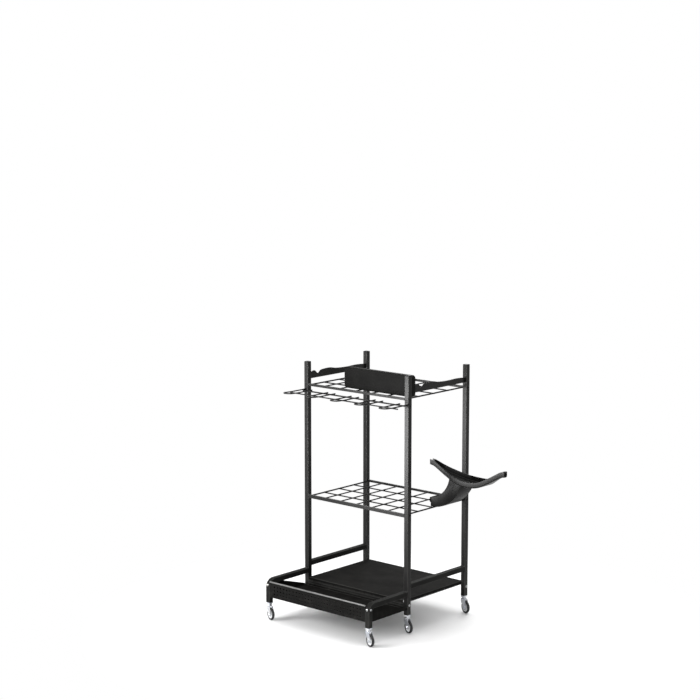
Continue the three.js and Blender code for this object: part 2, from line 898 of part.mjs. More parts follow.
for (const [side, x] of sides) {
  for (const [row, y] of rows) {
    const unit = caster(row + "_" + side);
    unit.position.set(x, y, 0);
    rack.add(unit);
  }
  for (const [row, y] of rows.slice(1)) {
    rack.add(placed(post(row + "_" + side + "_post"), x, y, tubeEndHeight));
    rack.add(placed(postCap(row + "_" + side + "_post_cap"), x, y, rackHeight - capThickness));
  }
  rack.add(placed(frontLeg(side + "_leg_rail"), x, -trayDepth, tubeEndHeight));
  rack.add(placed(sideRail(side + "_side_rail"), x, halfTube + seat, sideRailCentre));
}

rack.add(trayApron(), trayFloor(), crossBar(), rearFloor());
rack.add(gridFrame("mid_grid_frame", midGridHeight), ...gridDepthRods("mid_grid", midGridHeight));
rack.add(gridFrame("top_grid_frame", topGridHeight), ...gridDepthRods("top_grid", topGridHeight));

rack.add(hookRootRod(), hookTieRod());
for (let k = 0; k < loopCount; k += 1) {
  const x = (k - (loopCount - 1) / 2) * loopPitch;
  rack.add(placed(hookLoop("hook_loop_" + (k + 1)), x, towerFrontFace - seat, loopHeight));
}

const bandRear = towerDepth - halfTube - seat;
const leftBandFront = halfTube + seat;
const rightBandFront = leftBandFront + panelDepth + seat;
rack.add(placed(sideBand("left_side_band", bandRear - leftBandFront), -postX, leftBandFront, bandBottom));
rack.add(placed(sideBand("right_side_band", bandRear - rightBandFront), postX, rightBandFront, bandBottom));
rack.add(topPanel(), cradle(), cradleArm());

// The origin is under the middle of the whole rack's outline, on the ground.
rack.updateMatrixWorld(true);
const bounds = new THREE.Box3().setFromObject(rack, true);
const middle = bounds.getCenter(new THREE.Vector3());
rack.position.set(-middle.x, -middle.y, -bounds.min.z);

export default rack;
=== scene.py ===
"""Freestanding garden tool rack: its visible pieces, finishes, studio and camera.

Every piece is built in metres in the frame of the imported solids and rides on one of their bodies.
"""

import json
import logging
import math
from dataclasses import dataclass
from enum import Enum
from typing import Any, Callable, Iterable, Sequence, Union

import bmesh
import bpy
from mathutils import Matrix, Vector


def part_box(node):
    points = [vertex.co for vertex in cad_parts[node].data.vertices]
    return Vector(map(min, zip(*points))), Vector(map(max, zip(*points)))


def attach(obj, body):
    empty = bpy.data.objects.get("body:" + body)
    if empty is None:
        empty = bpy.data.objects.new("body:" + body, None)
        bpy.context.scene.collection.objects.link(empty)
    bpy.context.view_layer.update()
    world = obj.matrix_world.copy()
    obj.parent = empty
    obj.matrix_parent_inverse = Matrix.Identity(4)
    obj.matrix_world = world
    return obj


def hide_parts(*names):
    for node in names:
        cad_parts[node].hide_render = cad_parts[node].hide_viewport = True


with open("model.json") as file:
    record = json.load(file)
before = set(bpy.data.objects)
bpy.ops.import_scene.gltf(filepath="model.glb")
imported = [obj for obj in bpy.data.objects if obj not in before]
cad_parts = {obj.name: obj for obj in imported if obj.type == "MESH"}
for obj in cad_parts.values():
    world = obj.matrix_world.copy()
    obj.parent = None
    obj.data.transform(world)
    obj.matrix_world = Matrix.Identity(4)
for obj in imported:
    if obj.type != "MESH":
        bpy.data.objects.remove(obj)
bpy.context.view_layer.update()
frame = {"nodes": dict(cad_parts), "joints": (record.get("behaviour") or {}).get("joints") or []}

SHARP_ANGLE = math.radians(38)
FLAT_ANGLE = math.radians(1)
DOUBLES = 1e-6
COPY_WELD = 2e-6
CELL_WELD = 2e-5
SAME_POINT = 1e-5
FLAT_GUARD = 0.0008
FLAT_SHARE = 0.3
FACE_STEP = 0.0001
SIXTH = math.pi / 3
SEED = 7
WEAR = "wear"
FACING = "facing"
Colour = tuple[float, float, float, float]
Number = Union[float, int, "Sock"]
Section = list[tuple[float, float, float]]
Station = Spot = tuple[Vector, Vector]
Level = tuple[list[Vector], float]
Range = tuple[float, float]
Axes = tuple[float, float, float]
Table = tuple[tuple[float, ...], ...]
log = logging.getLogger("rack")


class Slot(Enum):
    """The record's material slots."""

    COAT = "black_coat"
    CAP = "black_cap"
    ZINC = "zinc"
    WHEEL = "wheel"


class Side(Enum):
    """The rack's two sides, with the direction that each faces along X."""

    LEFT = -1
    RIGHT = 1

    @property
    def word(self) -> str:
        """The side's name as the solids spell it."""
        return self.name.lower()


class Row(Enum):
    """The three rows of casters, from the tray to the back."""

    FRONT = "front"
    MIDDLE = "middle"
    REAR = "rear"


@dataclass(frozen=True)
class Pattern:
    """A noise pattern, with the ends of its smooth step and the relief that it makes.

    Its scale is in features per metre, its detail in octaves and its relief's depth in metres.
    """

    scale: float
    detail: float = 2.0
    ends: Range = (0.0, 1.0)
    depth: float = 0.0
    strength: float = 0.0
    stretch: Axes = (1, 1, 1)
    roughness: float = 0.55


# Node trees


def math_method(operation: str, flipped: bool = False) -> Callable[["Sock", Number], "Sock"]:
    """Makes a socket's method for one operation, which adds a Math node.

    Args:
        operation: The node's operation.
        flipped: True where the socket is the second of its two values.

    Returns:
        The method.
    """

    def method(self: "Sock", other: Number) -> "Sock":
        """Adds the node.

        Args:
            other: The other value.

        Returns:
            The node's result.
        """
        pair = (other, self) if flipped else (self, other)
        node = self.board.add("ShaderNodeMath", dict(enumerate(pair)), operation=operation)
        return Sock(self.board, node.outputs[0])

    return method


class Sock:
    """An output socket whose arithmetic adds Math nodes to its tree."""

    def __init__(self, board: "Board", socket: bpy.types.NodeSocket) -> None:
        """Wraps a socket of the board's tree."""
        self.board = board
        self.socket = socket

    __add__ = __radd__ = math_method("ADD")
    __mul__ = __rmul__ = math_method("MULTIPLY")
    __sub__, __rsub__ = math_method("SUBTRACT"), math_method("SUBTRACT", flipped=True)
    __truediv__ = math_method("DIVIDE")

    def eased(self, low: float, high: float) -> "Sock":
        """A smooth step from 0 at low to 1 at high.

        Args:
            low: The value where the step starts.
            high: The value where it ends.

        Returns:
            The step's value.
        """
        values = {"Value": self, "From Min": low, "From Max": high}
        node = self.board.add("ShaderNodeMapRange", values, interpolation_type="SMOOTHSTEP")
        return Sock(self.board, node.outputs[0])


class Board:
    """Adds nodes and links to one node tree."""

    def __init__(self, tree: bpy.types.NodeTree) -> None:
        """Takes the tree to build in."""
        self.tree = tree

    def add(self, kind: str, values: dict[Any, Any] | None = None, **settings: Any) -> bpy.types.Node:
        """Adds one node.

        Args:
            kind: The node's type name.
            values: Input sockets by name or index, each a value, a Sock or an output socket.
            **settings: The node's properties, set before its inputs.

        Returns:
            The new node.
        """
        node = self.tree.nodes.new(kind)
        for key, value in settings.items():
            setattr(node, key, value)
        for key, value in (values or {}).items():
            self.feed(node.inputs[key], value)
        return node

    def feed(self, target: bpy.types.NodeSocket, value: Any) -> None:
        """Sets an input to a plain value, or links it to a Sock or an output socket.

        Args:
            target: The input.
            value: The value, Sock or output socket.
        """
        if isinstance(value, Sock):
            value = value.socket
        if isinstance(value, bpy.types.NodeSocket):
            self.tree.links.new(value, target)
        else:
            target.default_value = value

    def directly_seen(self) -> Sock:
        """1 for rays from the camera, a reflection or a clear surface, and 0 for scattered light.

        Returns:
            The factor.
        """
        rays = self.add("ShaderNodeLightPath").outputs
        kinds = ("Camera", "Glossy", "Transmission")
        camera, glossy, clear = (Sock(self, rays[f"Is {kind} Ray"]) for kind in kinds)
        return (camera + glossy + clear).eased(0.0, 1.0)


class Surface(Board):
    """A material's tree, with the patterns that the finishes share."""

    def __init__(self, name: str) -> None:
        """Starts an empty material of that name.

        Args:
            name: The material's name.
        """
        self.material = bpy.data.materials.new(name)
        self.material.use_nodes = True
        super().__init__(self.material.node_tree)
        self.tree.nodes.clear()
        self.place = self.add("ShaderNodeTexCoord").outputs["Object"]

    def noise(self, pattern: Pattern) -> Sock:
        """A noise pattern's value, around 0.5, in the object's own coordinates.

        Args:
            pattern: The pattern's scale, stretch, detail and roughness.

        Returns:
            The value.
        """
        place = self.add("ShaderNodeMapping", {"Vector": self.place, "Scale": pattern.stretch})
        values = {"Vector": place.outputs[0], "Scale": pattern.scale, "Detail": pattern.detail}
        node = self.add("ShaderNodeTexNoise", {**values, "Roughness": pattern.roughness})
        return Sock(self, node.outputs["Fac"])

    def patch(self, pattern: Pattern) -> Sock:
        """A noise pattern cut by its smooth step."""
        return self.noise(pattern).eased(*pattern.ends)

    def cells(self, pattern: Pattern) -> Sock:
        """A cell pattern's distance, in the object's own coordinates."""
        values = {"Vector": self.place, "Scale": pattern.scale}
        return Sock(self, self.add("ShaderNodeTexVoronoi", values).outputs["Distance"])

    def worn(self, base: float, pattern: Pattern) -> Sock:
        """The wear that the mesh carries, broken up by a pattern on top of an even base."""
        wear = Sock(self, self.add("ShaderNodeAttribute", attribute_name=WEAR).outputs["Fac"])
        return (wear * (base + self.noise(pattern))).eased(*pattern.ends)

    def height(self) -> Sock:
        """The height above the ground, in metres."""
        node = self.add("ShaderNodeSeparateXYZ", {0: self.place})
        return Sock(self, node.outputs["Z"])

    def blend(self, share: Sock, low: Any, high: Any) -> bpy.types.NodeSocket:
        """A colour between low, at a share of 0, and high, at 1; each a colour or a socket."""
        mix = self.add("ShaderNodeMix", {0: share, 6: low, 7: high}, data_type="RGBA", clamp_factor=True)
        return mix.outputs[2]

    def bumped(self, relief: Sock, pattern: Pattern, below: Any = None) -> bpy.types.NodeSocket:
        """A normal that follows a relief.

        Args:
            relief: The height pattern.
            pattern: What it was made from, with its depth in metres and its strength.
            below: A coarser normal that it lies on.

        Returns:
            The normal.
        """
        values = {"Height": relief, "Distance": pattern.depth, "Strength": pattern.strength}
        if below is not None:
            values["Normal"] = below
        return self.add("ShaderNodeBump", values).outputs[0]

    def closed(
        self, colour: Any, roughness: Any, normal: Any, fixed: dict[str, float]
    ) -> bpy.types.Material:
        """Ends the material in a Principled shader.

        Args:
            colour: The base colour over the surface.
            roughness: The roughness over the surface.
            normal: The normal over the surface.
            fixed: The inputs that are the same all over.

        Returns:
            The finished material.
        """
        varied = {"Base Color": colour, "Roughness": roughness, "Normal": normal}
        shader = self.add("ShaderNodeBsdfPrincipled", {**fixed, **varied})
        self.add("ShaderNodeOutputMaterial", {0: shader.outputs[0]})
        return self.material


# Finishes


@dataclass(frozen=True)
class PowderCoat:
    """Black satin powder coat on steel, a little thinner and paler on its corners.

    Its roughening is the share of the peel, the scuffs, the dust and the wear in its roughness.
    """

    name: str = "black_powder_coat"
    deep: Colour = (0.0050, 0.0049, 0.0046, 1)
    body: Colour = (0.0092, 0.0090, 0.0084, 1)
    edge: Colour = (0.040, 0.040, 0.038, 1)
    dust: Colour = (0.085, 0.080, 0.072, 1)
    roughness: float = 0.37
    sheen: float = 0.11
    gloss: float = 0.04
    gloss_roughness: float = 0.25
    clouds: Pattern = Pattern(9, 3, (0.3, 0.7))
    peel: Pattern = Pattern(620, 2, depth=0.00010, strength=0.35)
    grain: Pattern = Pattern(2600, 1, depth=0.00004, strength=0.25)
    scuffs: Pattern = Pattern(75, 4, (0.60, 0.72))
    wear: Pattern = Pattern(160, 3, (0.25, 0.95))
    wear_base: float = 0.35
    wear_share: float = 0.8
    dusts: Pattern = Pattern(38, 4, (0.50, 0.74))
    dust_heights: Range = (0.05, 0.20)
    dust_share: float = 0.14
    roughening: tuple[float, ...] = (0.10, 0.10, 0.16, -0.06)

    def build(self) -> bpy.types.Material:
        """Makes the material.

        Returns:
            The material.
        """
        s = Surface(self.name)
        peel, grain = s.noise(self.peel), s.noise(self.grain)
        worn = s.worn(self.wear_base, self.wear)
        low = (1 - s.height().eased(*self.dust_heights)) * s.patch(self.dusts)
        colour = s.blend(s.patch(self.clouds), self.deep, self.body)
        colour = s.blend(worn * self.wear_share, colour, self.edge)
        colour = s.blend(low * self.dust_share, colour, self.dust)
        rough = self.roughness
        for share, change in zip(self.roughening, (peel - 0.5, s.patch(self.scuffs), low, worn)):
            rough = change * share + rough
        relief = s.bumped(grain, self.grain, s.bumped(peel, self.peel))
        fixed = {"Specular IOR Level": self.sheen, "Coat Weight": self.gloss}
        return s.closed(colour, rough, relief, {**fixed, "Coat Roughness": self.gloss_roughness})


@dataclass(frozen=True)
class MouldedPlastic:
    """Moulded plastic with a fine spark-eroded grain, rubbed on its corners."""

    name: str
    deep: Colour = (0.011, 0.011, 0.012, 1)
    light: Colour = (0.020, 0.020, 0.021, 1)
    rubbed: Colour = (0.045, 0.045, 0.046, 1)
    roughness: float = 0.52
    sheen: float = 0.5
    grain: Pattern = Pattern(1500, depth=0.00005, strength=0.30)
    flow: Pattern = Pattern(55, 3, (0.3, 0.7), stretch=(1, 1, 0.4))
    flow_roughening: float = 0.14
    rub: Pattern = Pattern(240, 3, (0.3, 1.0))
    rub_base: float = 0.3
    rub_share: float = 0.5
    rub_smoothing: float = 0.12

    def build(self) -> bpy.types.Material:
        """Makes the material.

        Returns:
            The material.
        """
        s = Surface(self.name)
        flow, rub = s.noise(self.flow), s.worn(self.rub_base, self.rub)
        colour = s.blend(flow.eased(*self.flow.ends), self.deep, self.light)
        colour = s.blend(rub * self.rub_share, colour, self.rubbed)
        rough = self.roughness + (flow - 0.5) * self.flow_roughening - rub * self.rub_smoothing
        relief = s.bumped(s.cells(self.grain), self.grain)
        return s.closed(colour, rough, relief, {"Specular IOR Level": self.sheen})


@dataclass(frozen=True)
class ZincPlate:
    """Bright zinc plate on pressed steel, with drawn lines and a faint bluish cast.

    Its roughening is the share of the drawn lines, the dull patches and the clouds in its roughness.
    """

    name: str = "bright_zinc_plate"
    pale: Colour = (0.60, 0.61, 0.63, 1)
    blue: Colour = (0.41, 0.43, 0.48, 1)
    straw: Colour = (0.54, 0.51, 0.44, 1)
    roughness: float = 0.24
    clouds: Pattern = Pattern(48, 4, (0.35, 0.68))
    cast: Pattern = Pattern(21, 2, (0.52, 0.75))
    cast_share: float = 0.30
    drawn: Pattern = Pattern(420, 2, depth=0.00004, strength=0.22, stretch=(1, 1, 0.12))
    dull: Pattern = Pattern(180, 4, (0.58, 0.78), depth=0.00005, strength=0.15)
    roughening: tuple[float, ...] = (0.16, 0.18, 0.10)

    def build(self) -> bpy.types.Material:
        """Makes the material.

        Returns:
            The material.
        """
        s = Surface(self.name)
        cloud, drawn, dull = s.noise(self.clouds), s.noise(self.drawn), s.patch(self.dull)
        colour = s.blend(cloud.eased(*self.clouds.ends), self.pale, self.blue)
        colour = s.blend(s.patch(self.cast) * self.cast_share, colour, self.straw)
        rough = self.roughness
        for share, change in zip(self.roughening, (drawn - 0.5, dull, cloud - 0.5)):
            rough = change * share + rough
        relief = s.bumped(dull, self.dull, s.bumped(drawn, self.drawn))
        return s.closed(colour, rough, relief, {"Metallic": 1.0})


@dataclass(frozen=True)
class WheelTyre:
    """Dark grey wheel rubber, scuffed paler where it rolls."""

    name: str = "wheel_tyre"
    deep: Colour = (0.0085, 0.0085, 0.0090, 1)
    pale: Colour = (0.034, 0.034, 0.035, 1)
    roughness: float = 0.56
    sheen: float = 0.16
    grit: Pattern = Pattern(900, 3, depth=0.00008, strength=0.4)
    grit_roughening: float = 0.2
    rolled: Pattern = Pattern(120, 4, (0.25, 1.0))
    rolled_base: float = 0.45
    rolled_roughening: float = 0.16

    def build(self) -> bpy.types.Material:
        """Makes the material.

        Returns:
            The material.
        """
        s = Surface(self.name)
        grit, rolled = s.noise(self.grit), s.worn(self.rolled_base, self.rolled)
        colour = s.blend(rolled, self.deep, self.pale)
        rough = self.roughness + (grit - 0.5) * self.grit_roughening + rolled * self.rolled_roughening
        return s.closed(colour, rough, s.bumped(grit, self.grit), {"Specular IOR Level": self.sheen})


class Finishes:
    """The rack's materials, each made once."""

    def __init__(self) -> None:
        """Builds every material."""
        self.coat = PowderCoat().build()
        self.matt = PowderCoat("matt_floor_coat", roughness=0.74, sheen=0.012, gloss=0.0).build()
        self.wire = PowderCoat("wire_coat", roughness=0.42, sheen=0.05, gloss=0.02).build()
        self.panel = PowderCoat("panel_coat", roughness=0.50, sheen=0.022, gloss=0.0).build()
        # The rails' base colour is paler than the posts' coat. This is painted reflection: it stands in for
        # the light that their sides lose with the near-zero sheen.
        deep, body = (0.0135, 0.0135, 0.013, 1), (0.0215, 0.0215, 0.0205, 1)
        self.rail = PowderCoat("rail_coat", deep, body, roughness=0.50, sheen=0.006, gloss=0.0).build()
        # The bead's pale base colour is a painted highlight: it stands in for the light that the rounded
        # top edge catches.
        deep, body = (0.06, 0.06, 0.058, 1), (0.11, 0.11, 0.106, 1)
        self.rolled = PowderCoat("rolled_edge_coat", deep, body, sheen=0.28).build()
        self.cap = MouldedPlastic("cap_plastic", sheen=0.06).build()
        deep, light = (0.52, 0.53, 0.54, 1), (0.68, 0.69, 0.70, 1)
        self.hub = MouldedPlastic("hub_plastic", deep, light, roughness=0.34).build()
        self.zinc = ZincPlate().build()
        self.screw = ZincPlate("dull_zinc_screws", (0.42, 0.42, 0.41, 1), (0.30, 0.31, 0.32, 1)).build()
        self.tyre = WheelTyre().build()


# Outlines and paths


def rounded_section(width: float, height: float, corner: float, steps: int = 4) -> Section:
    """A rounded rectangle as (across, up, wear) points, counter-clockwise.

    Args:
        width: Its full width.
        height: Its full height.
        corner: The corners' radius.
        steps: Facets in each corner.

    Returns:
        The points, with a guard point on the flat at each end of every arc.
    """
    a, b = width / 2 - corner, height / 2 - corner
    guard = min(FLAT_GUARD, FLAT_SHARE * min(a, b))
    points: Section = []
    for k, (cx, cy) in enumerate(((a, b), (-a, b), (-a, -b), (a, -b))):
        start = math.pi / 2 * k
        before = Vector((math.sin(start), -math.cos(start)))
        after = Vector((-math.cos(start), -math.sin(start)))
        first = Vector((cx + corner * math.cos(start), cy + corner * math.sin(start))) + before * guard
        end = start + math.pi / 2
        last = Vector((cx + corner * math.cos(end), cy + corner * math.sin(end))) + after * guard
        points.append((first.x, first.y, 0.0))
        for s in range(steps + 1):
            angle = start + math.pi / 2 * s / steps
            points.append((cx + corner * math.cos(angle), cy + corner * math.sin(angle), 1.0))
        points.append((last.x, last.y, 0.0))
    return points


def arc_points(cx: float, cy: float, radius: float, start: float, end: float, steps: int) -> list[Vector]:
    """Points on an arc, its angles in degrees, ends included."""
    angles = [math.radians(start + (end - start) * s / steps) for s in range(steps + 1)]
    return [Vector((cx + radius * math.cos(a), cy + radius * math.sin(a))) for a in angles]


def bent_path(corners: Sequence[Vector], radii: Sequence[float], steps: int) -> list[Station]:
    """A line with rounded corners.

    Args:
        corners: The line's corners, ends included.
        radii: The bend radius at each inner corner.
        steps: Facets in a right-angled bend.

    Returns:
        Points with their directions.
    """
    first = (corners[1] - corners[0]).normalized()
    path: list[Station] = [(corners[0].copy(), first)]
    for k in range(1, len(corners) - 1):
        inward = (corners[k] - corners[k - 1]).normalized()
        outward = (corners[k + 1] - corners[k]).normalized()
        turn = inward.angle(outward)
        aside = (outward - inward * inward.dot(outward)).normalized()
        radius = radii[k - 1]
        start = corners[k] - inward * radius * math.tan(turn / 2)
        count = max(2, round(steps * turn / (math.pi / 2)))
        for s in range(count + 1):
            angle = turn * s / count
            at = start + inward * (radius * math.sin(angle)) + aside * (radius * (1 - math.cos(angle)))
            along = inward * math.cos(angle) + aside * math.sin(angle)
            if (at - path[-1][0]).length > SAME_POINT:
                path.append((at, along))
    path.append((corners[-1].copy(), path[-1][1]))
    return path


def wears_of(section: Section) -> list[float]:
    """The wear of each point of a section."""
    return [wear for _, _, wear in section]


def level_ring(section: Section, z: float) -> list[Vector]:
    """A section's points laid level at a height."""
    return [Vector((x, y, z)) for x, y, _ in section]


def side_rings(levels: Iterable[Level]) -> list[list[Vector]]:
    """Outlines in Y and Z, each stood up at its place along X."""
    return [[Vector((x, p.x, p.y)) for p in outline] for outline, x in levels]


def rings_along(path: Sequence[Station], section: Section, across: Vector) -> list[list[Vector]]:
    """A section's rings along a flat path, with its own X kept along the given direction."""
    return [[at + across * x + along.cross(across) * y for x, y, _ in section] for at, along in path]


def smooth_curve(knots: Sequence[tuple[float, float]], steps: int) -> list[Vector]:
    """Points on the uniform spline through the knots.

    Args:
        knots: The spline's points.
        steps: How many even steps of its parameter to take.

    Returns:
        The points, ends included.
    """
    count = len(knots) - 1
    made = []
    for s in range(steps + 1):
        place = count * s / steps
        index = min(int(place), count - 1)
        t = place - index
        p = [Vector(knots[min(max(index + k, 0), count)]) for k in (-1, 0, 1, 2)]
        a, b = (p[2] - p[0]) / 2, (p[3] - p[1]) / 2
        cube = (p[1] * 2 - p[2] * 2 + a + b) * t**3
        made.append(cube + (p[2] * 3 - p[1] * 3 - a * 2 - b) * t**2 + a * t + p[1])
    return made


def mirrored(profile: Sequence[tuple[float, float]]) -> list[tuple[float, float]]:
    """A turned profile's other half, in the order that closes it."""
    return [(radius, -z) for radius, z in reversed(profile)]


def inset_outline(outline: Sequence[Vector], distance: float) -> list[Vector]:
    """A counter-clockwise outline with every edge moved inwards.

    Args:
        outline: The corners.
        distance: How far each edge moves, in metres.

    Returns:
        The moved corners, one for each.
    """
    made = []
    for k, corner in enumerate(outline):
        back = (corner - outline[k - 1]).normalized()
        on = (outline[(k + 1) % len(outline)] - corner).normalized()
        a, b = Vector((-back.y, back.x)), Vector((-on.y, on.x))
        made.append(corner + (a + b) * (distance / (1 + a.dot(b))))
    return made


def eased_levels(outline: list[Vector], ease: float, low: float, high: float) -> list[Level]:
    """An outline's levels from low to high, drawn in by the ease at both ends."""
    inner = inset_outline(outline, ease)
    return [(inner, low), (outline, low + ease), (outline, high - ease), (inner, high)]


# Meshes


class Form:
    """A mesh in the making: closed shells with their wear and finishes."""

    def __init__(self) -> None:
        """Starts with nothing."""
        self.points: list[Vector] = []
        self.wears: list[float] = []
        self.faces: list[list[int]] = []
        self.finishes: list[int] = []

    def loft(
        self,
        rings: Sequence[Sequence[Vector]],
        wears: Sequence[float] | None = None,
        finish: int = 0,
        looped: bool = False,
    ) -> "Form":
        """Adds a shell through rings of equal count.

        Args:
            rings: Closed rings of points.
            wears: The wear of each place in a ring, or of none.
            finish: Which of the piece's materials it has.
            looped: True where the last ring joins the first; otherwise both ends are capped.

        Returns:
            The form itself.
        """
        base, count = len(self.points), len(rings[0])
        for ring in rings:
            self.points.extend(ring)
            self.wears.extend(wears or [0.0] * count)
        spans = len(rings) if looped else len(rings) - 1
        for r in range(spans):
            near, far = base + r * count, base + (r + 1) % len(rings) * count
            for k in range(count):
                on = (k + 1) % count
                self._face([near + k, near + on, far + on, far + k], finish)
        if not looped:
            self._face([base + k for k in reversed(range(count))], finish)
            self._face([base + (len(rings) - 1) * count + k for k in range(count)], finish)
        return self

    def _face(self, corners: list[int], finish: int) -> None:
        """Adds one face."""
        self.faces.append(corners)
        self.finishes.append(finish)

    def turned(
        self,
        profile: Sequence[tuple[float, float]],
        sides: int = 40,
        finish: int = 0,
        wears: Sequence[float] | None = None,
    ) -> "Form":
        """Adds a shell turned about Z.

        Args:
            profile: (radius, height) points; it closes on itself, or on the axis at radius 0.
            sides: Facets round the axis.
            finish: Which of the piece's materials it has.
            wears: The wear of each profile point.

        Returns:
            The form itself.
        """
        rings = []
        for k in range(sides):
            angle = 2 * math.pi * k / sides
            turn = Vector((math.cos(angle), math.sin(angle), 0))
            rings.append([turn * radius + Vector((0, 0, z)) for radius, z in profile])
        return self.loft(rings, wears, finish, looped=True)

    def prism(self, outline: list[Vector], low: float, high: float, bevel: float = 0.0) -> "Form":
        """Adds an upright plate with an outline in X and Y, its edges eased by the bevel."""
        levels = eased_levels(outline, bevel, low, high) if bevel else [(outline, low), (outline, high)]
        return self.loft([[Vector((p.x, p.y, z)) for p in points] for points, z in levels])

    def stepped(self, width: float, corner: float, steps: Table, least: float = 0.0) -> "Form":
        """Adds an upright square block.

        Args:
            width: Its width.
            corner: The radius of its upright edges.
            steps: How far it is drawn in at each height, as (inset, height).
            least: The smallest radius.

        Returns:
            The form itself.
        """
        rings = []
        for inset, z in steps:
            size = width - inset * 2
            section = rounded_section(size, size, max(corner - inset, least))
            rings.append(level_ring(section, z))
        return self.loft(rings, wears_of(section))

    def moved(self, matrix: Matrix) -> "Form":
        """Moves everything in the form."""
        self.points = [matrix @ p for p in self.points]
        return self

    def take(self, other: "Form") -> "Form":
        """Adds a copy of another form.

        Args:
            other: The form that is copied.

        Returns:
            This form.
        """
        base = len(self.points)
        self.points.extend(p.copy() for p in other.points)
        self.wears.extend(other.wears)
        self.faces.extend([base + k for k in face] for face in other.faces)
        self.finishes.extend(other.finishes)
        return self

    def made(self, name: str, materials: Sequence[bpy.types.Material]) -> bpy.types.Object:
        """Makes the object, with its faces turned outwards.

        Args:
            name: The object's name.
            materials: One for each finish number.

        Returns:
            The object, at the origin.
        """
        mesh = bpy.data.meshes.new(name)
        mesh.from_pydata([tuple(p) for p in self.points], [], self.faces)
        for material in materials:
            mesh.materials.append(material)
        mesh.polygons.foreach_set("material_index", self.finishes)
        wear = mesh.attributes.new(WEAR, "FLOAT", "POINT")
        wear.data.foreach_set("value", self.wears)
        return dressed(new_object(name, mesh))


def new_object(name: str, mesh: bpy.types.Mesh) -> bpy.types.Object:
    """An object for a mesh, in the scene, at the origin.

    Args:
        name: The object's name.
        mesh: Its mesh.

    Returns:
        The object.
    """
    made = bpy.data.objects.new(name, mesh)
    bpy.context.scene.collection.objects.link(made)
    return made


def dressed(made: bpy.types.Object, weld: float = DOUBLES) -> bpy.types.Object:
    """Merges doubles, turns faces outwards and shades smoothly up to the sharp angle.

    Args:
        made: The object.
        weld: Points closer than this are merged, in metres.

    Returns:
        The same object.
    """
    shell = bmesh.new()
    shell.from_mesh(made.data)
    bmesh.ops.remove_doubles(shell, verts=shell.verts, dist=weld)
    bmesh.ops.dissolve_degenerate(shell, edges=shell.edges, dist=weld)
    bmesh.ops.recalc_face_normals(shell, faces=shell.faces)
    for face in shell.faces:
        face.smooth = True
    shell.to_mesh(made.data)
    shell.free()
    made.data.set_sharp_from_angle(angle=SHARP_ANGLE)
    return made


def joined(name: str, parts: Sequence[bpy.types.Object]) -> bpy.types.Object:
    """Joins finished objects into the first one and names it.

    Args:
        name: The name for the object and its mesh.
        parts: The objects. The first takes in the others.

    Returns:
        The first object.
    """
    first = parts[0]
    if len(parts) > 1:
        context = {"active_object": first, "object": first, "selected_editable_objects": list(parts)}
        with bpy.context.temp_override(**context, selected_objects=list(parts)):
            bpy.ops.object.join()
    first.name = first.data.name = name
    return first


def softened_copy(node: str, name: str, width: float, material: bpy.types.Material) -> bpy.types.Object:
    """A copy of a solid's mesh with its hard edges eased.

    Args:
        node: The solid to copy.
        name: The new object's name.
        width: The width of the eased edge.
        material: Its finish.

    Returns:
        The new object.
    """
    shell = bmesh.new()
    shell.from_mesh(frame["nodes"][node].data)
    bmesh.ops.remove_doubles(shell, verts=shell.verts, dist=COPY_WELD)
    bmesh.ops.dissolve_limit(shell, angle_limit=FLAT_ANGLE, verts=shell.verts, edges=shell.edges)
    hard = [e for e in shell.edges if e.is_manifold and e.calc_face_angle(0) > SHARP_ANGLE]
    rounding = {"segments": 3, "profile": 0.5, "affect": "EDGES", "clamp_overlap": True}
    bmesh.ops.bevel(shell, geom=hard, offset=width, **rounding)
    mesh = bpy.data.meshes.new(name)
    shell.to_mesh(mesh)
    shell.free()
    mesh.materials.clear()
    mesh.materials.append(material)
    for face in mesh.polygons:
        face.material_index = 0
    return dressed(new_object(name, mesh))


def settled(
    made: bpy.types.Object, stands_for: Iterable[str] = (), body: str = "rack"
) -> bpy.types.Object:
    """Hands a finished piece to the frame.

    Args:
        made: The piece, at the origin.
        stands_for: The solids that it replaces.
        body: The body that it rides on.

    Returns:
        The piece.
    """
    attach(made, body)
    nodes = list(stands_for)
    if nodes:
        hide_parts(*nodes)
    log.info("%-28s %6d faces on %s", made.name, len(made.data.polygons), body)
    return made


# Geometry Nodes


